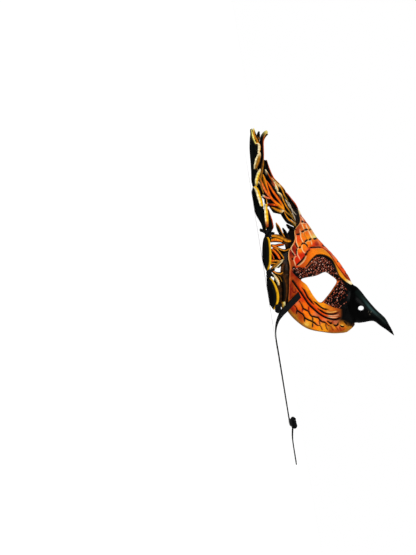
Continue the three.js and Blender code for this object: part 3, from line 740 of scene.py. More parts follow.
# Black dashes and grooves: half width, tone, line.
DARK_LINES = [
    (0.85, BLACK, [(302.1, 221.3), (302.7, 221.4)]),
    (0.6, DEEP_RED, [(304.8, 222), (305.8, 222.1)]),
    (0.55, COPPER, [(300.9, 215), (302.6, 216.2)]),
    (0.75, BLACK, [(301.5, 231.4), (302.7, 231.3), (304.1, 230.5)]),
    (0.7, BLACK, [(305.3, 229.6), (307, 229.3)]),
    (0.5, BROWN, [(309.6, 229.7), (311.4, 228.5)]),
    (0.65, BLACK, [(296.5, 234.4), (298.2, 234.4), (300, 233.8)]),
    (0.7, BLACK, [(305.3, 241.4), (307, 240.1)]),
    (0.7, BLACK, [(308.9, 240), (310.2, 239.3), (311.6, 238.3)]),
    (0.8, BLACK, [(313.2, 238.7), (315, 238.6), (316.9, 238.1)]),
    (0.55, BROWN, [(317.6, 237.6), (318.8, 237.3)]),
    (0.65, BLACK, [(298.8, 247.8), (299.9, 247.4), (300.6, 246.5)]),
    (0.5, BLACK, [(301.3, 245), (302.1, 243.8), (303.8, 243.2), (305.6, 243.9), (307, 245.4),
        (307.8, 247.2)]),
    (0.62, BLACK, [(309, 248), (311.1, 247.5), (316, 247.4), (321.8, 247.3)]),
    (0.75, BLACK, [(323.2, 245.7), (324.6, 245.5)]),
    (0.5, BLACK, [(295.4, 242.4), (296.1, 244.9), (297, 246.7), (297.4, 248.2)]),
    (0.55, BLACK, [(297.2, 248.6), (296.6, 250), (296.2, 252), (296.3, 255)]),
    (0.5, BLACK, [(292.2, 252.3), (293.4, 254.4), (294.4, 256.1)]),
    (0.65, BLACK, [(292.2, 258.9), (292.8, 259.2)]),
    (0.62, BLACK, [(295.4, 265.4), (296.2, 265.2), (297.9, 263.8), (299.6, 262.3), (301.1, 260.8),
        (302.3, 259.4), (303.5, 257.6), (304.4, 256.1)]),
    (0.8, BLACK, [(305.1, 254.9), (305.6, 254.1)]),
    (0.62, DARK_BROWN, [(306.5, 252.4), (307, 251.6)]),
    (0.6, DEEP_RED, [(308.3, 250.8), (308.8, 250.2)]),
    (0.6, BLACK, [(291.4, 267.7), (293.4, 267.3), (295, 267.7)]),
    (0.75, BLACK, [(297.6, 267.9), (300.5, 268.5), (302.9, 268.8), (305.4, 268.6)]),
    (0.95, BLACK, [(305.4, 267.6), (307.6, 264.7), (311.1, 260.6), (314.7, 257.2), (316.6, 255.9),
        (320.6, 255.6), (325.3, 256.9), (329.7, 260.1), (331.8, 262.6), (333.5, 266.2), (335, 269.8),
        (336.6, 273.6), (338.4, 276.8), (341, 279.4), (344.2, 281.9), (348, 283.8), (352.4, 285.6)]),
    (0.55, DEEP_RED, [(321.8, 247.5), (324, 249), (327, 251.4), (330, 255), (332.6, 258.9), (335.2, 263.2),
        (337.9, 267.4), (341, 271.3), (344.2, 275.4), (347.4, 279), (351.6, 281.6)]),
    (0.6, BLACK, [(333.4, 254.6), (334.2, 254.2)]),
    (0.6, BLACK, [(338.2, 261.4), (339, 261)]),
    (0.5, BLACK, [(342.6, 267.6), (343.6, 267.2)]),
    (0.5, BLACK, [(346.2, 273.2), (347.2, 272.8)]),
    (0.5, BLACK, [(329, 249.9), (329.8, 249.6)]),
    (0.72, BLACK, [(291.6, 271), (292.6, 271.9), (295.8, 275.3), (298.2, 277.4), (300.8, 279.6)]),
    (0.62, BLACK, [(301.4, 287.6), (303.5, 290), (305.2, 293.2), (307, 296.8), (309.1, 299.4),
        (311.1, 301.8), (313.4, 304.2)]),
    (0.55, BLACK, [(313.3, 301.3), (315.9, 303.3), (318.2, 305.3), (320.6, 307.3), (323.5, 308.9),
        (325.9, 309.4), (328.2, 309.6)]),
    (0.6, BLACK, [(317.6, 308.7), (320.6, 310.6), (322.9, 312.1), (325.3, 313.3), (328.4, 314.1),
        (331.4, 314.3), (334.4, 313.9), (336.8, 313.1), (338.6, 312.1)]),
    (0.55, BLACK, [(299, 301), (300.2, 302.4), (301.4, 304.5), (302.3, 306.5), (303.2, 308.3),
        (305.2, 309.5), (307.3, 310.6), (308.5, 311.2), (309.4, 313.3), (310.5, 315.1), (312, 316.3),
        (313.8, 316.5), (316.4, 317.3), (317.9, 317.4), (319.1, 318.9), (320.6, 320.7), (322.3, 321.8),
        (324.4, 322.2), (326.2, 323.3), (328, 325), (329.6, 325.9)]),
    (0.55, BLACK, [(294.3, 305.4), (295.8, 306.8), (296.7, 308.3), (297.3, 310.4), (298.7, 311.2),
        (300.5, 312.7), (302.3, 313.6), (303.5, 315.1), (304.4, 317.1), (305.8, 318.3), (307.6, 319.5),
        (310, 320.4), (312, 321.3), (313.8, 322.2), (315.3, 323.6), (317, 325), (318.8, 325.4),
        (320.6, 325.8)]),
    (0.5, BLACK, [(297, 310.4), (296.6, 311.8), (296.4, 313.6)]),
    (0.45, DEEP_RED, [(302.6, 307.1), (302.5, 309), (302.4, 311.4)]),
    (0.45, DEEP_RED, [(308.5, 306.6), (308.6, 308.6), (308.5, 310.8)]),
    (0.5, BLACK, [(304.4, 317.7), (304.4, 319.6), (304.6, 321.6)]),
    (0.4, DARK_BROWN, [(312.3, 317), (312.6, 319), (312.8, 321.2)]),
    (0.5, BLACK, [(312.6, 322.8), (312.6, 325), (312.5, 327.2)]),
    (0.35, BROWN, [(319.3, 320.6), (319.6, 322.8), (320.3, 325.2)]),
    (0.4, BROWN, [(320.6, 325.7), (321.5, 327.8), (322.4, 329.8)]),
    (0.4, BROWN, [(325.9, 323.6), (326.2, 326.6), (327.6, 329.8)]),
    (0.45, BLACK, [(327.3, 321), (328.8, 322.2), (330.4, 323.3)]),
    (0.75, BLACK, [(330.4, 323.4), (331.8, 323.2)]),
    (0.45, RED_BROWN, [(330.6, 326), (332.1, 328.1), (333.2, 330.2)]),
    (0.6, BLACK, [(333.8, 324.5), (335, 325.5), (336.5, 325.7), (337.9, 324.6), (338.5, 323)]),
    (0.45, RED_BROWN, [(335.6, 326.3), (337.1, 328.4), (338.2, 330)]),
    (0.5, BLACK, [(340.3, 325.4), (341.5, 326.4), (343.3, 326.8), (344.4, 326.2)]),
    (0.4, RED_BROWN, [(339.3, 326.6), (340.4, 328.8), (341.4, 330.4)]),
    (0.5, DARK_BROWN, [(344.2, 321.6), (345.9, 323.1), (347.2, 324.8)]),
    (0.4, RED_BROWN, [(333.2, 321), (333, 322.6), (333.6, 324.2)]),
    (0.35, DEEP_RED, [(292.7, 286.4), (292.3, 289.6), (293.7, 292.4), (295.6, 291.8), (296, 288.9)]),
    (0.35, DEEP_RED, [(289.8, 284), (290.6, 290), (290, 296)]),
]
# Tones of the leather at places on the plan: the forehead and brow, then the cheek. Near the ridge, about
# (312–321, 229–245), the cream, pale yellow and salmon tones are a painted highlight over the scales.
FOREHEAD_TONES = [
    (299.2, 213.2, CREAM), (300.4, 218, ORANGE_RED), (303, 218.6, SALMON), (300.4, 221.4, SALMON),
    (305, 220.6, SALMON), (299.6, 226.4, RED_BROWN), (301.6, 229.2, ORANGE), (302, 225.2, ORANGE),
    (297, 229.4, RED_BROWN), (298, 232.4, RED_BROWN), (305, 226.3, ORANGE), (308.6, 225.8, SALMON),
    (310, 227.4, AMBER), (298.6, 237.6, ORANGE_RED), (298.2, 241, ORANGE_RED), (299, 244.6, BRIGHT_ORANGE),
    (303, 236.4, BRIGHT_ORANGE), (303.6, 240.4, ORANGE), (307.6, 232.6, ORANGE),
    (308.6, 236, BRIGHT_ORANGE), (309.6, 237.6, AMBER), (312.6, 233.6, SALMON), (314.2, 231, CREAM),
    (313.4, 235.4, PALE_YELLOW), (316, 236, PALE_YELLOW), (308.8, 243, BRIGHT_ORANGE),
    (309.4, 245.4, ORANGE), (313, 241.4, ORANGE), (316.4, 244.4, DEEP_RED), (314.2, 244.4, RED),
    (319, 242.4, SALMON), (321.4, 245.8, ORANGE_RED), (318.6, 240, ORANGE), (312.2, 246, ORANGE_RED),
    (304.4, 246.4, BRIGHT_ORANGE), (304.8, 249.2, ORANGE), (305.8, 251.2, SALMON), (293.4, 247.4, DEEP_RED),
    (295.8, 246.2, ORANGE_RED), (293.6, 250.2, DEEP_RED), (294.8, 252.8, RED),
    (300.3, 250.6, BRIGHT_ORANGE), (302.6, 254.4, RED), (299.8, 257.4, RED), (290.6, 254.2, DEEP_RED),
    (292.4, 256.8, RED_BROWN), (296.2, 259.4, RED), (297.4, 262.2, RED), (291.6, 262.6, RED_BROWN),
    (290.4, 266, RED_BROWN), (310, 250, RED), (326, 248.8, SALMON), (329.4, 252, ORANGE_RED),
    (333.6, 257, SALMON), (337, 261.4, ORANGE), (343, 270.4, ORANGE_RED), (348.6, 276.8, RED_BROWN),
]
CHEEK_TONES = [
    (292.6, 309, DEEP_RED), (294.4, 311.6, RED_BROWN), (294.2, 307.4, ORANGE_RED), (295.6, 315.4, OCHRE),
    (299.4, 315, RED_BROWN), (301.4, 317.6, RED_BROWN), (300.4, 321, RED_BROWN), (303, 320.4, ORANGE),
    (297.6, 303, SALMON), (299, 306.6, ORANGE), (300.8, 309.4, ORANGE_RED), (300.4, 298.4, ORANGE_RED),
    (302.8, 299.2, RED), (303, 303.2, ORANGE), (305, 306.4, BRIGHT_ORANGE), (307, 304.2, ORANGE_RED),
    (305, 309, ORANGE), (309.6, 308.8, ORANGE_RED), (311, 312, ORANGE), (314, 315.2, SALMON),
    (317.4, 314.8, COPPER), (305, 312.4, BRIGHT_ORANGE), (307, 315.6, ORANGE),
    (309.6, 317.4, BRIGHT_ORANGE), (311.4, 319, AMBER), (314.6, 318.8, AMBER), (316.2, 321, BRIGHT_ORANGE),
    (318.4, 323, SALMON), (307.6, 322.4, AMBER), (309, 326, OCHRE), (311.4, 325, AMBER),
    (306, 324, PALE_YELLOW), (314.4, 327, ORANGE), (317, 329.4, AMBER), (318.8, 327.6, AMBER),
    (322.6, 325.6, AMBER), (324, 329, AMBER), (320.4, 317.2, ORANGE_RED), (324, 320, SALMON),
    (328.2, 322.8, ORANGE), (330.6, 321.2, COPPER), (331.4, 326.4, OCHRE), (334.4, 327.6, AMBER),
    (333, 331, RED_BROWN), (337.4, 331, RED_BROWN), (338.6, 327, SALMON), (336, 322.6, COPPER),
    (341.6, 324.6, AMBER), (341, 321.6, BROWN), (344.6, 325.4, AMBER), (346.4, 323.4, DARK_BROWN),
    (343, 329.4, RED_BROWN),
]
LINE_DEPTH = 0.55


def weighted_tones(x, y, tones, spread):
    """Tones that flow into each other between the places where they are given."""
    total, colour = np.zeros(x.shape), np.zeros(x.shape + (3,))
    for px, py, name in tones:
        w = np.exp(-((x - px) ** 2 + (y - py) ** 2) / (2 * spread**2)) + 1e-7
        total += w
        colour += w[..., None] * tone(name)
    return colour / total[..., None]


def under_eye_tones(x, groove, passed):
    """Bands that run along the long groove, from red at the rear to pale orange beside the nose."""
    rear = painted(
        flat_tone(x, ORANGE_RED),
        (ORANGE, smoothstep(groove, 2.4, 4.2)),
        (AMBER, smoothstep(groove, 4.6, 7)),
        (RED_BROWN, smoothstep(passed, 0.2, 0.02)),
        (DEEP_RED, 0.6 * smoothstep(passed, 0.1, 0.0) * smoothstep(groove, 1, 5)),
    )
    front = painted(
        flat_tone(x, SALMON),
        (COPPER, smoothstep(groove, 1.4, 0.8)),
        (OCHRE, 0.5 * smoothstep(groove, 4.4, 6.6)),
        (AMBER, 0.6 * smoothstep(groove, 6, 9)),
        (RED_BROWN, 0.3 + 0.5 * smoothstep(x, 328, 338)),
        (BROWN, 0.5 * smoothstep(x, 334, 341)),
    )
    return painted(rear, (front, smoothstep(x, 322, 330)))


def brow_band(x, y):
    """The band over the eye: its share of each place, how high it is rolled up, and its tones, with painted
    shade over its rear part.
    """
    far, share, _ = reach_along(smooth_line(BROW_BAND, 90), x, y)
    run = run_length(np.array(BROW_BAND))
    half = np.interp(share, run / run[-1], BROW_HALF)
    near = far / half
    gold = painted(
        flat_tone(x, ORANGE_RED),
        (ORANGE, smoothstep(x, 297, 306)),
        (BRIGHT_ORANGE, smoothstep(x, 306, 313)),
        (AMBER, 0.6 * smoothstep(x, 314, 322)),
        # Painted shade: red-brown deepens the rear part of the band.
        (RED_BROWN, 0.5 * smoothstep(x, 312, 302)),
        (YELLOW, 0.35 * smoothstep(share, 0.6, 0.75)),
        (OCHRE, 0.35 * smoothstep(np.abs(far - half * 0.3), 0.9, 0.2) * smoothstep(x, 312, 318)),
        (CREAM, smoothstep(share, 0.87, 0.97)),
        (ORANGE, 0.4 * smoothstep(near, 0.6, 1.0) * smoothstep(share, 0.9, 0.8)),
    )
    high = np.where(near < 1.2, 0.25 + 0.8 * (1 - np.minimum(near, 1) ** 2), 0)
    return smoothstep(near, 1.12, 0.94), high, gold


def draw_lines(lines, x, y, colour, depth=0.0):
    """Lines painted over the tones: the new colour, the height and the distance from the nearest line."""
    height, near = np.zeros(x.shape), np.full(x.shape, STROKE_REACH)
    for half, name, line in lines:
        far, share = stroke(line, x, y)
        ends = 1 if len(line) < 3 else np.clip(np.sin(np.pi * np.clip(share, 0.03, 0.97)) * 2.2, 0.45, 1)
        wide = half + 0.14 if depth else half - 0.06
        share = smoothstep(far, (wide + 0.38) * ends, (wide - 0.22) * ends)
        colour = painted(colour, (name, share if depth else 0.78 * share))
        height = height - depth * share
        near = np.minimum(near, far)
    return colour, height, near


def bare_edges(x, y, across, colour):
    """Colour of the face with the bare edge of the leather round the rim and the eye."""
    rim = smoothstep(np.abs(across), 0.98, 0.992) * (y < 300) * (1 - 0.7 * smoothstep(y, 258, 268))
    lower_rim = smoothstep(np.abs(across), 0.965, 0.985) * (y >= 300)
    eye, _, _ = reach_along(smooth_line(EYE_OUTLINE, 60, closed=True), x, y)
    return painted(
        colour,
        (AMBER, rim * 0.6),
        (CREAM, rim * 0.5),
        (OCHRE, lower_rim * 0.7),
        (AMBER, 0.5 * smoothstep(eye, 1.1, 0.5) * (y > 281) * (x < 320)),
        (ORANGE, 0.7 * smoothstep(eye, 1.2, 0.7) * (x > 325) * (x + y > 616) * (y < 296)),
    )


def tool_face(x, y, across):
    """Height in millimetres, colour and stipple of the tooled and painted face, at places on the plan."""
    groove, passed, side = reach_along(smooth_line(CHEEK_GROOVE, 50), x, y)
    under_eye, wedge = inside(UNDER_EYE, x, y), inside(REAR_WEDGE, x, y)
    lid, nose = inside(LID, x, y), inside(NOSE_PATCH, x, y)
    patch = np.maximum(lid, nose)
    # Black beside the beak's root and towards the front of the under-eye band, with no flecks or swell there.
    beside_beak_black = np.maximum(inside(BESIDE_BEAK_BLACK, x, y, soft=1.6), smoothstep(x, 338.6, 343.4) * under_eye)
    below_groove = smoothstep(np.where(side > 0, groove, -groove), -0.2, 0.2) * (y > 280)
    band, band_height, gold = brow_band(x, y)
    colour = painted(
        weighted_tones(x, y, FOREHEAD_TONES, 1.7),
        (weighted_tones(x, y, CHEEK_TONES, 2.0), below_groove),
        (under_eye_tones(x, groove, passed), under_eye),
        (RED_BROWN, wedge),
        (DEEP_RED, 0.7 * wedge * smoothstep(x, 293.5, 289.5)),
        (gold, band),
        (BLACK, patch),
        (BLACK, beside_beak_black),
    )
    on_lid = lid * (0.72 + 0.28 * smoothstep(x, 312, 320))
    on_nose = nose * (0.68 - 0.4 * smoothstep(x + 0.9 * y, 606, 618))
    stipple = np.maximum(on_lid, on_nose) * (1 - 0.75 * lid * smoothstep(x, 329, 335)) * (1 - beside_beak_black)

    # The leather swells between the lines.
    colour, _, pale = draw_lines(PALE_LINES, x, y, colour)
    colour, cut, dark = draw_lines(DARK_LINES, x, y, colour, LINE_DEPTH)
    swell = 0.6 * smoothstep(np.minimum(pale, np.minimum(dark, groove)), 0.1, 1.9)
    deep = smoothstep(groove, 1.2, 0.62) * smoothstep(passed, 0.0, 0.03)
    swell = swell * (1 - patch) * (1 - beside_beak_black) * (1 - band)
    height = swell + band_height * band - 0.3 * patch + cut - 0.8 * deep
    return height, bare_edges(x, y, across, painted(colour, (BLACK, deep))), stipple


BROW_ROLL = [(18, 34), (28, 36), (36, 42), (44, 48.5), (53, 49), (60, 44), (66, 33), (74, 23), (82, 16)]
CHEEK_ROLL = [(20, 31), (32, 17), (40, 6), (46, -2), (56, -7), (65, -11), (74, -12)]
ROLL_HEIGHT, ROLL_WIDTH = 0.7, 9


def roll(line, points):
    """Swell of the leather along a line of (up, forward)."""
    far, _, _ = reach_along(smooth_line(line, 60), points[..., 2], points[..., 1])
    return ROLL_HEIGHT * (1 - smoothstep(far, ROLL_WIDTH * 0.25, ROLL_WIDTH * 0.75))


def grid_faces(index):
    """Faces between rows of point numbers."""
    corners = [index[:-1, :-1], index[:-1, 1:], index[1:, 1:], index[1:, :-1]]
    return np.stack(corners, -1).reshape(-1, 4).tolist()


def hem(fine, coarse):
    """Faces that close one edge of the sheet, from the front's fine line to the back's coarse line."""
    faces = []
    for k, (here, after) in enumerate(zip(coarse, coarse[1:])):
        part = fine[k * BACK_STEP:(k + 1) * BACK_STEP + 1]
        middle = BACK_STEP // 2
        faces += [(part[n + 1], part[n], here if n < middle else after) for n in range(BACK_STEP)]
        faces.append((part[middle], here, after))
    return faces


def face_sheet():
    """The leather of the face as one closed sheet, its front fine and its back coarser."""
    down, across = np.linspace(0, 1, FACE_ROWS + 1), np.linspace(-1, 1, FACE_COLUMNS + 1)
    down, across = np.meshgrid(down, across, indexing="ij")
    flat = face_surface(across, down)
    normal = face_normal(across, down)
    height, _, _ = tool_face(*plan(flat), across)
    fade = smoothstep(1 - np.abs(across), 0.0, 0.02) * smoothstep(down, 0.0, 0.02)
    fade *= 1 - smoothstep(down, 0.985, 1)
    lift = roll(BROW_ROLL, flat) + roll(CHEEK_ROLL, flat) + height * fade
    lift *= 0.25 + 0.75 * smoothstep(np.abs(across), 0.03, 0.22)
    front = flat + normal * lift[..., None]
    back = (flat - normal * LEATHER)[::BACK_STEP, ::BACK_STEP]
    fine = np.arange(across.size).reshape(across.shape)
    coarse = np.arange(back.size // 3).reshape(back.shape[:2]) + across.size
    fronts = grid_faces(fine)
    backs = [(a, d, c, b) for a, b, c, d in grid_faces(coarse)]
    edges = []
    for turned in (lambda g: g[0], lambda g: g[-1, ::-1], lambda g: g[::-1, 0], lambda g: g[:, -1]):
        edges += hem(turned(fine).tolist(), turned(coarse).tolist())
    points = np.vstack([front.reshape(-1, 3), back.reshape(-1, 3)])
    slots = np.repeat([PAINT, INNER, EDGE], [len(fronts), len(backs), len(edges)]).astype(np.int32)
    return points, fronts + backs + edges, slots, flat.reshape(-1, 3), front.reshape(-1, 3), across.ravel()


# Beak and its hollow: top and bottom as (up, forward), with the half width between them.
BEAK = [
    ((14, 76), (-19, 76), 9.5), ((16.4, 84.2), (-23.2, 84.2), 12.5), ((10.8, 91.3), (-22.4, 95.4), 11.5),
    ((0.4, 99.6), (-21.2, 101.5), 9), ((-9.1, 107.9), (-21.6, 106.5), 6.4), ((-17.8, 117), (-26, 112.5),
    4.6), ((-25.3, 121.5), (-30, 118.5), 3), ((-30.7, 124.4), (-33.6, 123.2), 1.6), ((-35, 126.1),
    (-35.6, 126), 0.4),
]
HOLLOW = [
    ((9, 62), (-14, 62), 12), ((12.4, 84), (-19.8, 84), 9.4), ((7, 91), (-19.2, 94.6), 8.4), ((-3.2, 98.2),
    (-18.2, 100.2), 6), ((-13, 104.6), (-17.4, 104.2), 2.4),
]
# From side to side in millimetres: where the eye holes and the slits start, and how far every cut may reach.
EYE_FROM, SLIT_FROM, CUT_TO, NOSTRIL_TO = 6, 40, 90, 30
# The join between face and beak: from where it is blended, how far, how often, and the largest shift.
JOIN_FROM, JOIN_WIDTH, JOIN_PASSES, JOIN_SHIFT = 60, 6, 120, 1.3


def beak_shape(stations, rows, sides):
    """A closed horn through its stations, narrower at its top."""
    t = np.linspace(0, 1, rows)
    high = catmull([s[0] for s in stations], t)
    low = catmull([s[1] for s in stations], t)
    half = np.maximum(catmull([(s[2], 0) for s in stations], t)[:, 0], 0.3)
    angle = np.linspace(0, 2 * np.pi, sides, endpoint=False)
    c, s = np.cos(angle), np.sin(angle)
    narrow = 1 - 0.35 * np.maximum(0, c) ** 2
    middle = (high + low) / 2
    up_forward = middle[:, None] + (high - middle)[:, None] * c[None, :, None]
    points = np.stack([half[:, None] * (narrow * s)[None], up_forward[..., 0], up_forward[..., 1]], -1)
    return points.reshape(-1, 3), ring_faces(rows, sides)


def prism(outline, low, high):
    """A block from side to side over an outline of (right, down) on the plan."""
    n = len(outline)
    points = [(x, PLAN_DOWN - d, r - PLAN_RIGHT) for x in (low, high) for r, d in outline]
    ends = [tuple(range(n)), tuple(range(2 * n - 1, n - 1, -1))]
    return np.array(points), ends + [(i, (i + 1) % n, (i + 1) % n + n, i + n) for i in range(n)]


def oval(right_mid, down_mid, long, high):
    angle = np.linspace(0, 2 * np.pi, 28, endpoint=False)
    return [(right_mid + long / 2 * math.cos(a), down_mid + high / 2 * math.sin(a)) for a in angle]


def combine(target, points, faces, slot, operation):
    """Join a closed shape with the target or cut it away. Its walls get the material of a slot."""
    tool = mesh_object("tool", points * MM, faces, MASK_MATERIALS)
    tool.data.polygons.foreach_set("material_index", np.full(len(tool.data.polygons), slot, np.int32))
    change = target.modifiers.new("cut", "BOOLEAN")
    change.operation, change.object, change.solver = operation, tool, "MANIFOLD"
    graph = bpy.context.evaluated_depsgraph_get()
    result = bpy.data.meshes.new_from_object(target.evaluated_get(graph), depsgraph=graph)
    target.modifiers.remove(change)
    old, target.data = target.data, result
    bpy.data.meshes.remove(old)
    bpy.data.objects.remove(tool)


def make_face():
    """The leather face, joined with its beak and cut through at the eyes, nostrils and strap slits."""
    points, faces, slots, flat, front, across = face_sheet()
    made = mesh_object("owl_face_leather", points * MM, faces, MASK_MATERIALS)
    made.data.polygons.foreach_set("material_index", slots)
    combine(made, *beak_shape(BEAK, 90, 56), LACQUER, "UNION")
    combine(made, *beak_shape(HOLLOW, 40, 40), INNER, "DIFFERENCE")
    eye, nostril = smooth_line(EYE_OUTLINE, 72, closed=True), oval(361.4, 308.3, 5.8, 4.6)
    for outline, slot, low, high in (
        (eye, EDGE, EYE_FROM, CUT_TO), (eye, EDGE, -CUT_TO, -EYE_FROM),
        (nostril, LACQUER, -NOSTRIL_TO, NOSTRIL_TO),
        (STRAP_SLIT, EDGE, SLIT_FROM, CUT_TO), (STRAP_SLIT, EDGE, -CUT_TO, -SLIT_FROM),
    ):
        combine(made, *prism(outline, low, high), slot, "DIFFERENCE")
    mesh = made.data
    co = read(mesh.vertices, "co", np.float32, 3).astype(float) / MM
    corners = read(mesh.loops, "vertex_index")
    slots = np.repeat(read(mesh.polygons, "material_index"), read(mesh.polygons, "loop_total"))
    soften_join(mesh, co, corners, slots)
    paint_face(mesh, co, corners, slots, flat, front, across)
    mesh.vertices.foreach_set("co", placed(co).astype(np.float32).ravel())
    mesh.update()
    smooth(mesh, FACE_SHARP_DEGREES)
    belong(made, ["owl_face"])


def soften_join(mesh, co, corners, slots):
    """Blend the corner between face and beak, so that they read as one piece of leather."""
    on_face, on_beak = (np.isin(np.arange(len(co)), corners[slots == slot]) for slot in (PAINT, LACQUER))
    tree = tree_of(co[on_face & on_beak])
    area = np.where((on_face | on_beak) & (co[:, 2] > JOIN_FROM))[0]
    far = np.array([tree.find(co[i])[2] for i in area])
    weight = np.zeros(len(co))
    weight[area] = 1 - smoothstep(far, 1.0, JOIN_WIDTH)
    weight *= 0.15 + 0.85 * smoothstep(np.abs(co[:, 0]), 1.0, 5.0)
    edges = read(mesh.edges, "vertices", width=2)
    a, b = edges[(weight[edges] > 0).any(1)].T
    ends, others = np.concatenate([a, b]), np.concatenate([b, a])
    moved, place = np.unique(ends, return_inverse=True)
    count, start = np.bincount(place), co[moved].copy()
    for _ in range(JOIN_PASSES):
        mean = np.stack([np.bincount(place, co[others, k]) for k in range(3)], -1) / count[:, None]
        co[moved] += (mean - co[moved]) * (0.6 * weight[moved])[:, None]
    shift = co[moved] - start
    size = np.linalg.norm(shift, axis=1, keepdims=True)
    co[moved] = start + shift * np.minimum(1, JOIN_SHIFT / np.maximum(size, 1e-9))


def paint_face(mesh, co, corners, slots, flat, front, across):
    """Colour every corner by the kind of surface it belongs to and its place on the plan."""
    tree = tree_of(front)
    tooled = np.unique(corners[slots == PAINT])
    nearest = np.array([tree.find(co[i])[1] for i in tooled])
    places = np.stack(plan(co), -1)
    places[tooled] = np.stack(plan(flat[nearest] + (co[tooled] - front[nearest])), -1)
    colours, stipple = np.tile(tone(HIDE), (len(co), 1)), np.zeros(len(co))
    _, colours[tooled], stipple[tooled] = tool_face(*places[tooled].T, across[nearest])
    stipple *= smoothstep(np.abs(co[:, 0]), 9, 13)
    rgb = colours[corners]
    for slot, tones in ((INNER, hide_tones(co)), (LACQUER, beak_tones(co)), (EDGE, edge_tones(co))):
        rgb[slots == slot] = tones[corners][slots == slot]
    paint_corners(mesh, "paint", linear(rgb))
    paint_corners(mesh, "stipple", (stipple[corners] * (slots == PAINT))[:, None])
    lay_out(mesh, "plan", places)


def hide_tones(co):
    shade = 0.85 + 0.15 * np.sin(co[:, 0] * 0.35) * np.sin(co[:, 1] * 0.27 + 1)
    return tone(HIDE) * shade[:, None]


# Line of the painted highlight along the beak's flank, then three painted glints.
BEAK_HIGHLIGHT_LINE = [
    (358, 292.4), (362.4, 297.6), (366.8, 303.4), (371.2, 308.8), (376, 313.4), (381, 317), (385.6, 322),
]
BEAK_GLINTS = [(368.9, 312.2), (371.6, 312), (370.2, 314.6)]


def beak_tones(co):
    """Black lacquer with a painted blue-green highlight along its flank, a painted green-black sheen round
    it, and three pale painted glints.
    """
    x, y = plan(co)
    far, share = stroke(BEAK_HIGHLIGHT_LINE, x, y)
    sheen = 0.8 * smoothstep(far, 2.1, 0.3) * np.sin(np.pi * np.clip(share, 0.05, 0.9)) ** 2
    specks = [(ASH, 0.4 * smoothstep(np.hypot(x - px, y - py), 0.8, 0.3)) for px, py in BEAK_GLINTS]
    return painted(flat_tone(x, BLACK), (DARK_GREEN_SHEEN, smoothstep(far, 4, 1.5)), (TEAL_HIGHLIGHT, sheen), *specks)


def edge_tones(co):
    x, y = plan(co)
    return painted(flat_tone(x, DARK_BROWN), (OCHRE, smoothstep(y, 300, 312) * 0.9))


make_face()


# The feathered wing behind the face, by height: inner and outer (forward, half width).
WING_UP = np.array([-12, 10, 30, 50, 65, 78, 92, 105, 120, 140, 172], float)
WING_INNER = np.array([
    (19, 68), (20, 70), (20, 70), (20, 65), (26, 50), (31, 28), (29, 4), (19, 18), (7, 32), (-2, 42),
    (-3, 50),
], float)
WING_OUTER = np.array([
    (8, 69), (3, 75), (1, 76), (-2, 76), (-1, 72), (-5, 73), (-10, 71), (-12, 67), (-13, 61), (-14, 54),
    (-16, 57),
], float)
WING_FACING = unit(np.array([0.72, 0.05, 0.69]))
# Curled leaves from top to bottom, as (up, belly forward, rim forward, rim half width).
LOWER_TIP = [
    (24.5, -2, 0, 83), (19, -2, 5, 88), (11, -1.6, 9, 91.5), (3, -0.4, 10.3, 91), (-3, 0.8, 9, 89),
    (-9, 4.6, 5.8, 84),
]
UPPER_TIP = [
    (65, -3, -2, 84), (60, -5.4, 1, 91), (50, -6.4, 2.5, 94), (40, -6, 2.4, 94), (33, -4, 1, 91),
    (28.5, -1.5, -1, 85),
]
TUFT_LOW_TIP = [
    (113, -15.6, -14.5, 74), (107, -16.8, -11.5, 80), (97, -16.6, -8, 84), (87, -13.4, -3.5, 86),
    (77, -7.8, -1.8, 86), (67.5, -5, -4, 80),
]
TUFT_HIGH_TIP = [
    (171, -17.6, -16.5, 62), (160, -18.8, -14, 69), (149, -19, -10.5, 72), (138, -18, -12.5, 73),
    (127, -17.4, -11, 75), (118, -17, -12, 76), (113.8, -15.5, -14.5, 72),
]
LEAF_STEPS, LEAF_THICK, LEAF_DEEP, LEAF_LEAN = 48, 2.6, 18.0, 2.2
# Tones of a leaf by millimetres from its rim, two for the outside and one for the inside. The green-black
# bands on the outside are painted sheen.
BACK_STOPS = [(1.3, YELLOW), (1.9, BLACK), (4, DARK_GREEN_SHEEN), (6, BLACK)]
DARK_STOPS = [(0, BLACK), (2.4, DARK_GREEN_SHEEN), (3.6, BLACK), (7, DARK_GREEN_SHEEN), (9, BLACK)]
INNER_STOPS = [(0, YELLOW), (0.5, OCHRE), (2, BROWN), (5, DARK_BROWN)]


def ramp(stops, place):
    """Tones between stops of (place, tone). Beyond the outer stops the tone stays."""
    places, names = zip(*stops)
    return np.stack([np.interp(place, places, channel) for channel in tone(names).T], -1)


def leaf_half(tips, up, forward):
    """Half width of the outer side of a curled leaf at a height and depth."""
    rows = catmull(tips, np.linspace(0, 1, 120))[::-1]
    belly, rim, half = (np.interp(up, rows[:, 0], rows[:, k]) for k in (1, 2, 3))
    mid = belly * 0.55 + rim * 0.45 - 0.6
    near_rim = half - LEAF_LEAN * (rim - forward) / np.maximum(rim - mid, 0.3)
    near_belly = half - LEAF_LEAN - 6.8 * (mid - forward) / np.maximum(mid - belly, 0.3)
    found = np.where(forward >= mid, near_rim, near_belly)
    found = np.where(forward > rim, half - 1.3 * (forward - rim), found)
    found = np.where(forward < belly, half - 9, found)
    return found - 2 * np.maximum(0, np.maximum(rows[0, 0] - up, up - rows[-1, 0]))


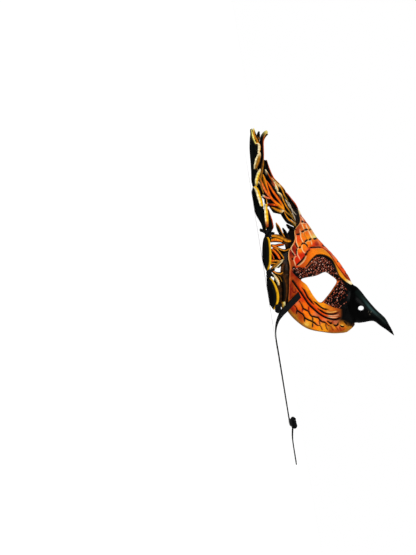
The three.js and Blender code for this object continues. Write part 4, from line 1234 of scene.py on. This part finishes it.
def wing_point(x, y, lift=0.0, over=False):
    """A place on the plan, set on the wing, or over the curled leaves of the tuft, and raised by lift."""
    up, forward = PLAN_DOWN - y, x - PLAN_RIGHT
    inner = [np.interp(up, WING_UP, WING_INNER[:, k]) for k in (0, 1)]
    outer = [np.interp(up, WING_UP, WING_OUTER[:, k]) for k in (0, 1)]
    out = np.clip((inner[0] - forward) / (inner[0] - outer[0]), -0.1, 1.1)
    half = inner[1] + (outer[1] - inner[1]) * out
    for tip in (TUFT_LOW_TIP, TUFT_HIGH_TIP) if over else ():
        half = np.maximum(half, leaf_half(tip, up, forward))
    return np.stack([half + lift, up, forward], -1)


BLADE_STEPS, TOP_POINTS, UNDER_POINTS = 26, 15, 7
# Places across a blade from -1 to 1, on its top and then back on its underside.
BLADE_ACROSS = np.concatenate([np.linspace(-1, 1, TOP_POINTS), np.linspace(1, -1, UNDER_POINTS)])
BLADE_TOP = np.arange(TOP_POINTS + UNDER_POINTS) < TOP_POINTS


def blade(line, widths, stops, lift=0.0, fade=None, end_fade=None, over=False, thick=2.2, crown=0.5):
    """A tapering strip of leather on the wing. stops are (place across from -1 to 1, tone), left to right."""
    t = np.linspace(0, 1, BLADE_STEPS)
    v = BLADE_ACROSS
    path = wing_point(*catmull(line, t).T, lift, over)
    for _ in range(4 if over else 0):
        path[1:-1, 0] = (path[:-2, 0] + 2 * path[1:-1, 0] + path[2:, 0]) / 4
    tangent = unit(np.gradient(path, axis=0))
    across = unit(np.cross(tangent, WING_FACING))
    facing = np.cross(across, tangent)
    half = np.interp(t, np.linspace(0, 1, len(widths)), widths) / 2
    side = half[:, None] * v
    rounded = thick / 2 * np.sqrt(np.clip(1 - np.abs(v) ** 5, 0, 1))
    high = np.minimum(1, half / 1.4)[:, None] * np.where(BLADE_TOP, rounded + crown * (1 - v**2), -rounded)
    points = path[:, None] + across[:, None] * side[..., None] + facing[:, None] * high[..., None]
    row = np.where(BLADE_TOP[:, None], ramp(stops, v), tone(DARK_BROWN))
    colours = row * (1 + 0.1 * np.sin(t * 37 + line[0][0]))[:, None, None]
    for share, name in ((1 - t, fade), (t, end_fade)):
        if name is not None:
            colours = painted(colours, (name, smoothstep(share, 0.6, 1.0)[:, None] * BLADE_TOP))
    plans = np.stack([side + 9 * line[0][0], run_length(path)[:, None] + 0 * side], -1).reshape(-1, 2)
    return points.reshape(-1, 3), ring_faces(BLADE_STEPS, len(v)), colours.reshape(-1, 3), plans


PLATE_STEP = 1.1


def plate(outline, lift, thick, paint):
    """A thin sheet of leather on the wing over an outline on the plan."""
    outline = np.asarray(outline, float)
    low, high = outline.min(0), outline.max(0)
    gx, gy = np.meshgrid(np.arange(low[0], high[0], PLATE_STEP), np.arange(low[1], high[1], PLATE_STEP))
    gx = gx + (np.arange(gx.shape[0]) % 2)[:, None] * PLATE_STEP / 2
    keep = inside(outline, gx, gy, soft=0.6) > 0.97
    border = []
    for p, q in zip(outline, np.roll(outline, -1, axis=0)):
        n = max(1, int(np.ceil(np.linalg.norm(q - p) / PLATE_STEP)))
        border += [p + (q - p) * k / n for k in range(n)]
    corners = [Vector(p) for p in [*border, *zip(gx[keep], gy[keep])]]
    verts, _, tris, _, _, _ = geometry.delaunay_2d_cdt(corners, [], [list(range(len(border)))], 1, 1e-5)
    xy = np.array([tuple(v) for v in verts])
    x, y = xy.T
    near, _, _ = reach_along(np.vstack([outline, outline[:1]]), x, y)
    middle, n = wing_point(x, y, lift), len(xy)
    top = middle + WING_FACING * (thick / 2 * smoothstep(near, -0.4, 0.9))[:, None]
    bottom = middle - WING_FACING * thick / 2
    edges = {(a, b): True for tri in tris for a, b in zip(tri, [*tri[1:], tri[0]])}
    faces = [tuple(t) for t in tris] + [tuple(i + n for i in reversed(t)) for t in tris]
    faces += [(b, a, a + n, b + n) for a, b in edges if (b, a) not in edges]
    colours = np.vstack([paint(x, y), flat_tone(x, DARK_BROWN)])
    return np.vstack([top, bottom]), faces, colours, np.vstack([xy, xy])


def black_hide(x, y):
    dot, pick = speckle(x, y, 2.3, stretch=2.2, slant=-0.5)
    return painted(flat_tone(x, BLACK), (DARK_BROWN, 0.5 * smoothstep(dot, 0.5, 0.1) * (pick > 0.5)))


def brown_hide(x, y):
    dot, pick = speckle(x, y, 3.1, stretch=1.6)
    return painted(
        flat_tone(x, DARK_BROWN),
        (BROWN, 0.75 * smoothstep(dot, 0.7, 0.1) * (pick > 0.35)),
        (BROWN, 0.9 * inside([(276, 236), (290, 236), (292, 246), (284, 247)], x, y, 2)),
        (BLACK, 0.85 * smoothstep(x, 285.4, 288.2)),
        (BLACK, 0.8 * inside([(278, 250), (290, 250), (290, 262), (282, 262)], x, y, 2.5)),
    )


def brushed_black(x, y):
    """Black with faint brown brush lines fanning out from the corner at the face's upper end."""
    angle = np.arctan2(229 - y, 299 - x)
    lines = np.abs(np.modf(angle * 16 + 0.3)[0] - 0.5)
    return painted(flat_tone(x, BLACK), (BROWN, 0.5 * smoothstep(lines, 0.2, 0.05)))


def curled_leaf(stations, stops):
    """A feather curled into a cup, painted by the stops on its outside."""
    t = np.linspace(0, 1, LEAF_STEPS)
    full = np.clip(np.minimum(t, 1 - t) * 7, 0, 1) ** 0.6 * 0.86 + 0.14
    s = np.linspace(0, 1, 17)
    thin = np.clip(np.minimum(s, 1 - s) * 9, 0.25, 1)[:, None]
    rows = []
    for f, (up, belly, rim, half) in zip(full, catmull(stations, t)):
        curve = [(half, rim), (half - LEAF_LEAN * f, belly * 0.55 + rim * 0.45 - 0.6 * f),
                 (half - LEAF_DEEP * 0.5 * f, belly), (half - LEAF_DEEP * f, belly + 4 * f)]
        line = catmull(curve, s)
        way = unit(np.gradient(line, axis=0))
        normal = np.stack([-way[:, 1], way[:, 0]], -1)
        if normal[8, 1] < 0:
            normal = -normal
        inner = line + normal * LEAF_THICK * f * thin
        run = run_length(line)
        height = np.full(2 * len(s), up)
        side, forward = np.vstack([line, inner[::-1]]).T
        rows.append((
            np.stack([side, height, forward], -1),
            np.vstack([ramp(stops, run), ramp(INNER_STOPS, run)[::-1]]),
            np.stack([np.concatenate([run, -run[::-1]]), height], -1),
        ))
    points, colours, plans = map(np.vstack, zip(*rows))
    return points, ring_faces(LEAF_STEPS, 2 * len(s)), colours, plans


# Tones across a blade, from its left to its right side. Beyond the outer places the tone stays.
# On the orange and amber strands the deeper edges and paler middle are painted shade across each rounded
# strand; the black margins are the black leather.
ORANGE_STRAND = [(-0.56, BLACK), (-0.42, ORANGE_RED), (0, BRIGHT_ORANGE), (0.42, ORANGE_RED), (0.56, BLACK)]
THIN_STRAND = [(-0.42, BLACK), (-0.3, ORANGE_RED), (0.3, ORANGE), (0.42, BLACK)]
AMBER_STRAND = [(-0.52, BLACK), (-0.36, OCHRE), (0, AMBER), (0.36, OCHRE), (0.52, BLACK)]
OLIVE_STRAND = [(-0.5, BLACK), (-0.3, OLIVE), (0.3, OCHRE), (0.5, BLACK)]
YELLOW_STRIP = [(-0.78, CREAM), (-0.55, YELLOW), (0.1, YELLOW), (0.6, OCHRE), (1, BROWN)]
CREAM_STRIP = [(-0.2, CREAM), (0.1, AMBER), (0.7, OCHRE), (1, BLACK)]
RED_EDGE = [(-0.2, BLACK), (0.05, RED_BROWN), (0.7, ORANGE_RED), (1, DEEP_RED)]
BLACK_ORANGE = [(0, BLACK), (0.2, RED_BROWN), (0.8, ORANGE), (1, AMBER)]
BLACK_AMBER = [(0, BLACK), (0.2, OCHRE), (0.8, AMBER), (1, BROWN)]
# Dry-brushed lines on the black between the strands: width, tone, line.
ASH_LINES = [
    (1.9, ASH, [(282.9, 194.6), (286, 200.5), (289, 205.8), (290.7, 207.8), (292.8, 210.8),
        (296.4, 214.9)]),
    (1.2, ASH, [(288.4, 201.6), (290.6, 206.4), (292.6, 212.8), (294.7, 219.4)]),
    (1.3, OLIVE, [(287.8, 209.3), (289.8, 214.9), (291.6, 218.2), (294.3, 221.7), (295.4, 224.6)]),
    (1.2, ASH, [(291.9, 213.1), (294, 215.8), (294.8, 218.2), (295.4, 220.5)]),
    (1.1, ASH, [(288.6, 220.3), (290.8, 222.2)]),
    (1.1, OLIVE, [(284.6, 203.4), (286.6, 207.6), (288.4, 211)]),
    (1.2, ASH, [(290.8, 219.4), (293.6, 222.4), (295.8, 224.5)]),
    (1, COPPER, [(279.4, 197.6), (281.6, 203), (283.6, 207.4)]),
]
# Blades of the feathers: line on the plan, widths, tones across, lift, tone at the start and at the end, and
# whether it lies over the curled leaves. What a row leaves out at its end is as in blade().
TUFT_STRANDS = [
    ([(283.6, 191), (286.8, 194.8), (290.6, 199.8), (294.4, 204.6), (297.4, 209)],
     [1.5, 3.2, 3.8, 4.2, 2], RED_EDGE, 0.6),
    ([(270.8, 177), (273.8, 180.4), (277.8, 184.4), (282.6, 189.4), (285.2, 193)],
     [1, 3.6, 4.2, 3.8, 2], BLACK_AMBER, 0.2, None, BROWN),
    ([(265.6, 160.4), (267, 166), (268.8, 171.4), (270.8, 175.8), (274, 180.4)],
     [2.4, 3.6, 4.4, 4.4, 2], BLACK_ORANGE, 0.4, None, ORANGE_RED),
    ([(276.6, 182.4), (279.6, 186.8), (281.8, 191), (283.6, 195.6), (287, 200.6)],
     [1, 3.4, 4.2, 3.6, 2], AMBER_STRAND, 1, CREAM, OLIVE),
    ([(272.4, 181.6), (275, 184.4), (276.4, 188), (277.6, 191.4)],
     [1, 4.2, 4.4, 1.4], CREAM_STRIP, 1.2, CREAM),
    ([(265.2, 169.6), (266.6, 174), (268.4, 178), (271, 181.6), (274.6, 186)],
     [1, 4, 4.8, 4.6, 2], BLACK_ORANGE, 0.8, CREAM, SALMON),
    ([(277, 191.8), (280.4, 195), (282.6, 200.8), (285.4, 206.4), (289.4, 212.6), (292.6, 217.6)],
     [1, 3.4, 4, 3.6, 3, 2], AMBER_STRAND, 1.4, CREAM, OLIVE),
    ([(264.8, 179.6), (268.6, 185.8), (272, 191.6), (275.4, 196.4), (278.6, 200.8), (281.4, 205.2),
      (283.4, 210)],
     [1, 4.4, 5, 5, 5, 4.6, 3], ORANGE_STRAND, 2, None, AMBER),
    ([(262.8, 174.6), (264.6, 182), (266.6, 188.8), (268.2, 193.6), (270.2, 198), (274, 202),
      (278.4, 205.6), (282.8, 209)],
     [1, 4, 4.8, 5, 5, 5, 4.6, 3], ORANGE_STRAND, 2.2, AMBER, AMBER),
    ([(258.8, 177.6), (260.8, 183), (262.8, 188), (265.6, 192.8), (268.6, 197)],
     [1.4, 4.4, 5, 4.6, 2.4], [(-0.7, BLACK), (-0.5, SALMON), (0.5, ORANGE), (0.7, BLACK)], 1.6, OCHRE),
    ([(257, 181.4), (259.4, 184.8), (261, 189.4), (262.6, 194)],
     [1.2, 3.8, 4.2, 2.6], OLIVE_STRAND, 1.2, CREAM),
    ([(262.4, 195.6), (265.4, 197.8), (269.4, 198.6)],
     [2, 3.2, 2], [(-1, BLACK), (-0.5, SALMON), (0.5, SALMON), (1, BLACK)], 2.4, CREAM),
    ([(265.4, 197), (265.8, 202.4), (267, 206)],
     [2.2, 3, 2], AMBER_STRAND, 1.4),
    ([(267.2, 204.4), (272, 205.2), (276.4, 205.6), (280, 206.8), (284, 210.6)],
     [1.6, 3.2, 3.6, 3.6, 2], [(-0.5, BLACK), (-0.3, ORANGE_RED), (0.5, ORANGE)], 1, DEEP_RED, AMBER),
    ([(271.2, 207.2), (274.6, 209.4), (278.6, 211), (283, 211.8)],
     [0.8, 4, 4.6, 3.6], [(-1, BLACK), (-0.5, OCHRE), (0.2, AMBER), (0.6, BROWN)], 0.6, None, CREAM),
    ([(281.6, 208.4), (285.6, 212.8), (289.2, 216), (292.4, 219.8), (295.8, 224.4)],
     [3, 3.4, 3, 2.6, 1.6], OLIVE_STRAND, 1, AMBER),
    ([(282.4, 211.4), (284.4, 216), (287.2, 220), (291.4, 222.8), (295.4, 226)],
     [2, 5, 5, 4, 2], [(-0.2, BLACK), (0.1, AMBER), (0.8, AMBER), (1, BLACK)], 0.6, None, OLIVE),
    ([(271.4, 177.8), (274.6, 181.4), (278.2, 185.2), (281.6, 189.6)],
     [0.8, 1.5, 1.5, 0.8], [(-1, CREAM), (1, OCHRE)], 2),
    ([(250.9, 130.4), (251.9, 136), (253.2, 140.4), (255.6, 145)],
     [1.6, 3, 3, 1.6], [(-1, BLACK), (-0.6, PALE_YELLOW), (0.6, PALE_YELLOW), (1, AMBER)], 3.6, None, None,
     True),
    ([(253.6, 129.4), (254, 133.4), (255.4, 137.2), (257.4, 140.6), (258.6, 145)],
     [1.4, 3.2, 4, 4.2, 3], [(-1, AMBER), (-0.6, OCHRE), (0, BLACK), (0.6, BROWN)], 1.2, PALE_YELLOW, None,
     True),
    ([(259, 131.8), (258.2, 135.4), (257.8, 139.8)],
     [1.6, 3.2, 2.4], [(1, BLACK)], 1, None, AMBER),
    ([(267.2, 131.6), (264.4, 133.8), (262.2, 137.4), (261.6, 142), (261.8, 147.4), (262, 152.6),
      (262.2, 159)],
     [2.8, 4, 4.6, 4.6, 4.4, 4.2, 3], BLACK_ORANGE, 0, PALE_YELLOW),
    ([(255.4, 144.4), (257.6, 143.8), (259, 146.4), (259, 150.4), (258.2, 154)],
     [1, 2, 2.6, 2.8, 1.6], [(-0.3, CREAM), (0.3, AMBER), (1, OCHRE)], 3, None, None, True),
    ([(259.4, 152.4), (258.8, 156.6), (257.6, 161.4), (255.8, 166.4), (254.6, 169.6)],
     [1.4, 5.2, 6.8, 5, 1.6], [(-0.8, CREAM), (-0.6, OLIVE), (0.1, OCHRE), (0.6, BROWN), (1, BLACK)], 2.6,
     CREAM, None, True),
    ([(262.8, 158.6), (262, 165), (261, 171), (260, 177), (259.8, 184)],
     [2, 4.2, 4.6, 4.2, 2], [(-1, BLACK), (-0.5, BROWN), (0.3, OCHRE), (1, BLACK)], 0.6),
    ([(260, 170), (258.2, 175.2), (256.8, 180), (255.8, 186)],
     [1.6, 4, 4, 2.4], [(-1, CREAM), (-0.72, PALE_YELLOW), (-0.2, YELLOW), (0.6, OCHRE), (1, BLACK)], 3,
     CREAM, None, True),
    ([(253, 187.6), (255.6, 190.4), (257.6, 196), (259.2, 201), (260.6, 206.4)],
     [0.8, 2, 2, 2, 1.2], [(1, CREAM)], 4.8, None, None, True),
    ([(255, 187.6), (257.6, 192), (259.4, 197.4), (260.8, 202), (262, 207)],
     [2.6, 5, 5.2, 4.6, 2.4], [(-1, CREAM), (-0.8, YELLOW), (0.15, YELLOW), (0.35, BROWN), (1, BLACK)], 3.6,
     YELLOW, None, True),
    ([(265.6, 205.4), (266, 211), (266.4, 217), (266.8, 222), (267, 226.6)],
     [3.4, 4.6, 4.8, 4.2, 2.6], YELLOW_STRIP, 3.4, None, RED_BROWN, True),
    ([(266.2, 210), (267.8, 217), (269.2, 223.4), (270.4, 229.8)],
     [6.6, 8.9, 10.8, 13], [(0.42, BLACK), (0.56, RED_BROWN), (0.88, ORANGE_RED), (1, BROWN)], -2.5, None,
     None, True),
]
UPPER_BARBS = [
    ([(276, 222.8), (278.4, 228.4), (281, 233.8), (283.6, 238)],
     [1, 4, 4.4, 2.4], [(-0.1, BLACK), (0.1, AMBER), (0.8, OCHRE), (1, CREAM)], 0.6, AMBER),
    ([(282.6, 228), (285, 232.4), (286.8, 237), (288, 241)],
     [1, 3.2, 3.8, 2.4], [(0.3, BLACK), (0.6, BROWN)], 0.6),
    ([(286.4, 224.2), (289.4, 227.2), (292.6, 229), (295.6, 231)],
     [1, 3.6, 4.4, 3], [(1, BLACK)], 0.2),
    ([(271.2, 236.4), (276, 236.4), (281, 238), (286, 240.6), (290, 241)],
     [1.6, 4.4, 5, 5, 3], [(-1, BLACK), (-0.5, AMBER), (0.1, OCHRE), (0.6, BROWN)], 0.6, AMBER),
    ([(270.4, 240.4), (274, 239.6), (278.8, 240.4), (282, 241.4)],
     [3.6, 4.6, 3.4, 2], [(-1, BLACK), (-0.6, ORANGE), (0.4, AMBER), (0.7, BLACK)], 1.6),
    ([(271.4, 245.4), (275, 245.8), (279, 245), (283.4, 244.4)],
     [2.4, 2.6, 2.6, 2], THIN_STRAND, 1.6, OCHRE),
    ([(272, 245.8), (276, 247.8), (280.4, 250), (284.4, 250.6), (288.6, 249)],
     [2, 3.4, 3.4, 3, 2], AMBER_STRAND, 1.8, ORANGE),
    ([(273, 247.2), (276.4, 250), (279.4, 253.6), (282, 257.2), (283.4, 260)],
     [1.4, 3.6, 3.6, 3.2, 1.6], AMBER_STRAND, 1.4, ORANGE),
    ([(271.6, 249.6), (274.4, 252.4), (277, 255.6), (279.2, 259.6)],
     [2, 4.6, 5.4, 4.6], ORANGE_STRAND, 1.2, ORANGE),
    ([(271, 253.4), (272, 256.4), (273.2, 260)],
     [1.6, 3.2, 3], THIN_STRAND, 1.2, ORANGE),
    ([(270.6, 261), (274.6, 260.8), (278.8, 261.4), (282, 262.4)],
     [2.6, 3.6, 3.4, 2], AMBER_STRAND, 1.8, ORANGE),
    ([(270.6, 263.4), (274, 263.8), (277.4, 265)],
     [2, 3, 2], AMBER_STRAND, 1.4, AMBER),
    ([(283, 259.8), (280, 262), (277.2, 264.6), (274, 267.4), (270.8, 269.4)],
     [1, 3.6, 4, 4, 2.4], [(-0.3, OCHRE), (0, BLACK), (0.3, CREAM)], 2.4, CREAM),
    ([(284, 264), (283, 268), (282.6, 272), (284, 275)],
     [3, 6, 6, 3], [(-1, BROWN), (0, DARK_BROWN), (1, BLACK)], -0.6),
]
LOWER_BARBS = [
    ([(271.6, 270.4), (275, 273), (279.4, 273.8), (282.4, 272)],
     [1.4, 3.2, 3.4, 2], AMBER_STRAND, 1.6, ORANGE),
    ([(272.6, 274.4), (275.6, 277.6), (277.6, 281), (278.6, 285)],
     [2, 3.4, 3.6, 2], [(-0.2, CREAM), (0.3, AMBER), (1, BLACK)], 2.6, CREAM),
    ([(276.4, 275), (279.4, 278), (281.6, 282)],
     [1.2, 2.6, 1.2], OLIVE_STRAND, 0.6),
    ([(283.2, 301.6), (283.4, 305.6), (282.6, 310.2)],
     [4.4, 4.4, 1.2], [(-1, OCHRE), (-0.4, PALE_YELLOW), (0.3, CREAM), (1, OCHRE)], 1.6),
    ([(282, 276), (284.6, 284), (285, 293), (283.4, 302)],
     [3, 7, 7, 4], [(-1, BLACK), (-0.2, DARK_BROWN), (0.3, BROWN), (1, BLACK)], -0.8),
]


def tuft_shape():
    silhouette = [
        (263.4, 160), (266.7, 160.5), (268.3, 171), (270.4, 174.4), (275, 179), (281, 185.5), (285.6, 193),
        (292.4, 201.5), (297.6, 209), (299.6, 222), (296, 226), (290, 222.6), (284, 218), (281.4, 213.6),
        (274, 212), (270.4, 207), (267.6, 200), (264, 196), (259.6, 194), (257, 186), (257.6, 172),
    ]
    tip = [(251, 133), (258, 139), (261, 146), (262.6, 156), (262.6, 166), (258, 190), (253, 186), (252, 160)]
    return joined([
        plate(silhouette, -1.2, 2.2, brushed_black),
        plate(tip, -3.2, 2.0, black_hide),
        curled_leaf(TUFT_HIGH_TIP, DARK_STOPS),
        curled_leaf(TUFT_LOW_TIP, DARK_STOPS),
        *(blade(*strand) for strand in TUFT_STRANDS),
        *(blade(line, [0.7, width, width, 0.6], [(0, name)], lift=1.5, thick=1.2, crown=0.2)
          for width, name, line in ASH_LINES),
    ])


def upper_feather_shape():
    rear = [
        (281.4, 234), (285, 233), (286.4, 236.4), (290, 229.8), (295, 229), (295.2, 240.6), (289.6, 251.6),
        (289.4, 262), (289.6, 276), (284, 276), (282, 268.8), (280.2, 262), (278, 252), (282, 252.6),
        (287, 250.4), (285.6, 244.4), (280, 241), (277, 238.6), (274, 236),
    ]
    hollow = [(271, 249), (274.6, 248), (282.4, 252), (283, 262), (279, 268), (271.4, 266)]
    return joined([
        plate(rear, -1.6, 2.4, brown_hide),
        plate(hollow, -2.2, 1.6, black_hide),
        curled_leaf(UPPER_TIP, BACK_STOPS),
        *(blade(*barb) for barb in UPPER_BARBS),
    ])


def lower_feather_shape():
    rear = [
        (276, 273), (289.6, 273), (289.4, 304), (288, 306.6), (281, 307), (276, 303), (274.6, 296),
        (274, 284),
    ]
    return joined([
        plate(rear, -1.6, 2.4, brown_hide),
        curled_leaf(LOWER_TIP, BACK_STOPS),
        *(blade(*barb) for barb in LOWER_BARBS),
    ])


# Thong knots that lace the feathers on: centre, size and the places where the two ends stop.
KNOTS = {
    "upper_lacing_knot": ((84, 66, -0.6), 4.4, ((82, 70.5, -8.5), (86, 66.5, 5.5))),
    "middle_lacing_knot": ((86, 26.8, 0.6), 3.8, ((85, 31, 6), (87, 23.5, 5))),
    "lower_lacing_knot": ((86, -7.6, 9.4), 4.0, ((87, -3.6, 13), (85, -12.4, 9.6))),
}
KNOT_END_STEPS = 10


def knot_shape(centre, size, ends):
    lump = knot_path(size * 0.78, centre, 0.5)
    parts = [tube(lump, np.full(len(lump), size * 0.42), 10)]
    for end in ends:
        path = centre + np.subtract(end, centre) * np.linspace(0.15, 1, KNOT_END_STEPS)[:, None]
        path[:, 1] += np.sin(np.linspace(0, 1, KNOT_END_STEPS) * np.pi) * 0.7
        parts.append(tube(path, np.linspace(size * 0.34, size * 0.38, KNOT_END_STEPS), 9, flat=0.75))
    return joined([(p, f, flat_tone(p[:, 0], BLACK), np.zeros((len(p), 2))) for p, f in parts])


FEATHERS = (
    ("feather_tuft_", "horn_tuft_", tuft_shape()),
    ("upper_feather_", "upper_side_feather_", upper_feather_shape()),
    ("lower_feather_", "lower_side_feather_", lower_feather_shape()),
)
for side_name, turn in (("left", tuple), ("right", mirrored)):
    for name, solid, shape in FEATHERS:
        painted_piece(name + side_name, turn(shape), feather_paint, [solid + side_name])
    for name, knot in KNOTS.items():
        solid = name + "_" + side_name
        painted_piece("thong_" + solid, turn(knot_shape(*knot)), thong, [solid])


# Floor, lights and surroundings.
FLOOR_REACH, FLOOR_LEVEL = 30.0, -0.0003
floor_material, tree, shader = new_material("pale_floor")
connect(tree, shader, {
    "Base Color": grey(tree, noise_map(tree, own_place(tree), 6, 0.9, 0.94)),
    "Roughness": 0.9,
    "Specular IOR Level": 0.0,
})
floor_corners = [
    (x * FLOOR_REACH, y * FLOOR_REACH, FLOOR_LEVEL) for x, y in ((-1, -1), (1, -1), (1, 1), (-1, 1))
]
mesh_object("floor", floor_corners, [(0, 1, 2, 3)], [floor_material], turn_outward=False)


def sun(name, way, strength, angle):
    lamp = bpy.data.lights.new(name, "SUN")
    lamp.energy, lamp.angle = strength, math.radians(angle)
    made = bpy.data.objects.new(name, lamp)
    made.rotation_euler = Vector(way).to_track_quat("Z", "Y").to_euler()
    bpy.context.scene.collection.objects.link(made)


def make_world():
    """Dim white light all round, with a bright white background for the camera."""
    world = bpy.data.worlds.new("studio")
    bpy.context.scene.world = world
    world.use_nodes = True
    tree, white = world.node_tree, (1, 1, 1, 1)
    glow = tree.nodes["Background"]
    connect(tree, glow, {"Color": white, "Strength": 0.45})
    seen = node(tree, "ShaderNodeBackground", {"Color": white, "Strength": 1.0})
    by_camera = node(tree, "ShaderNodeLightPath").outputs["Is Camera Ray"]
    mix = node(tree, "ShaderNodeMixShader", {0: by_camera, 1: glow.outputs[0], 2: seen.outputs[0]})
    connect(tree, tree.nodes["World Output"], {"Surface": mix.outputs[0]})


sun("key", (-0.75, 0.35, 0.75), 2.6, 30)
sun("fill", (-0.5, -0.55, 0.55), 0.8, 60)
make_world()
bpy.context.scene.view_settings.view_transform = "Standard"
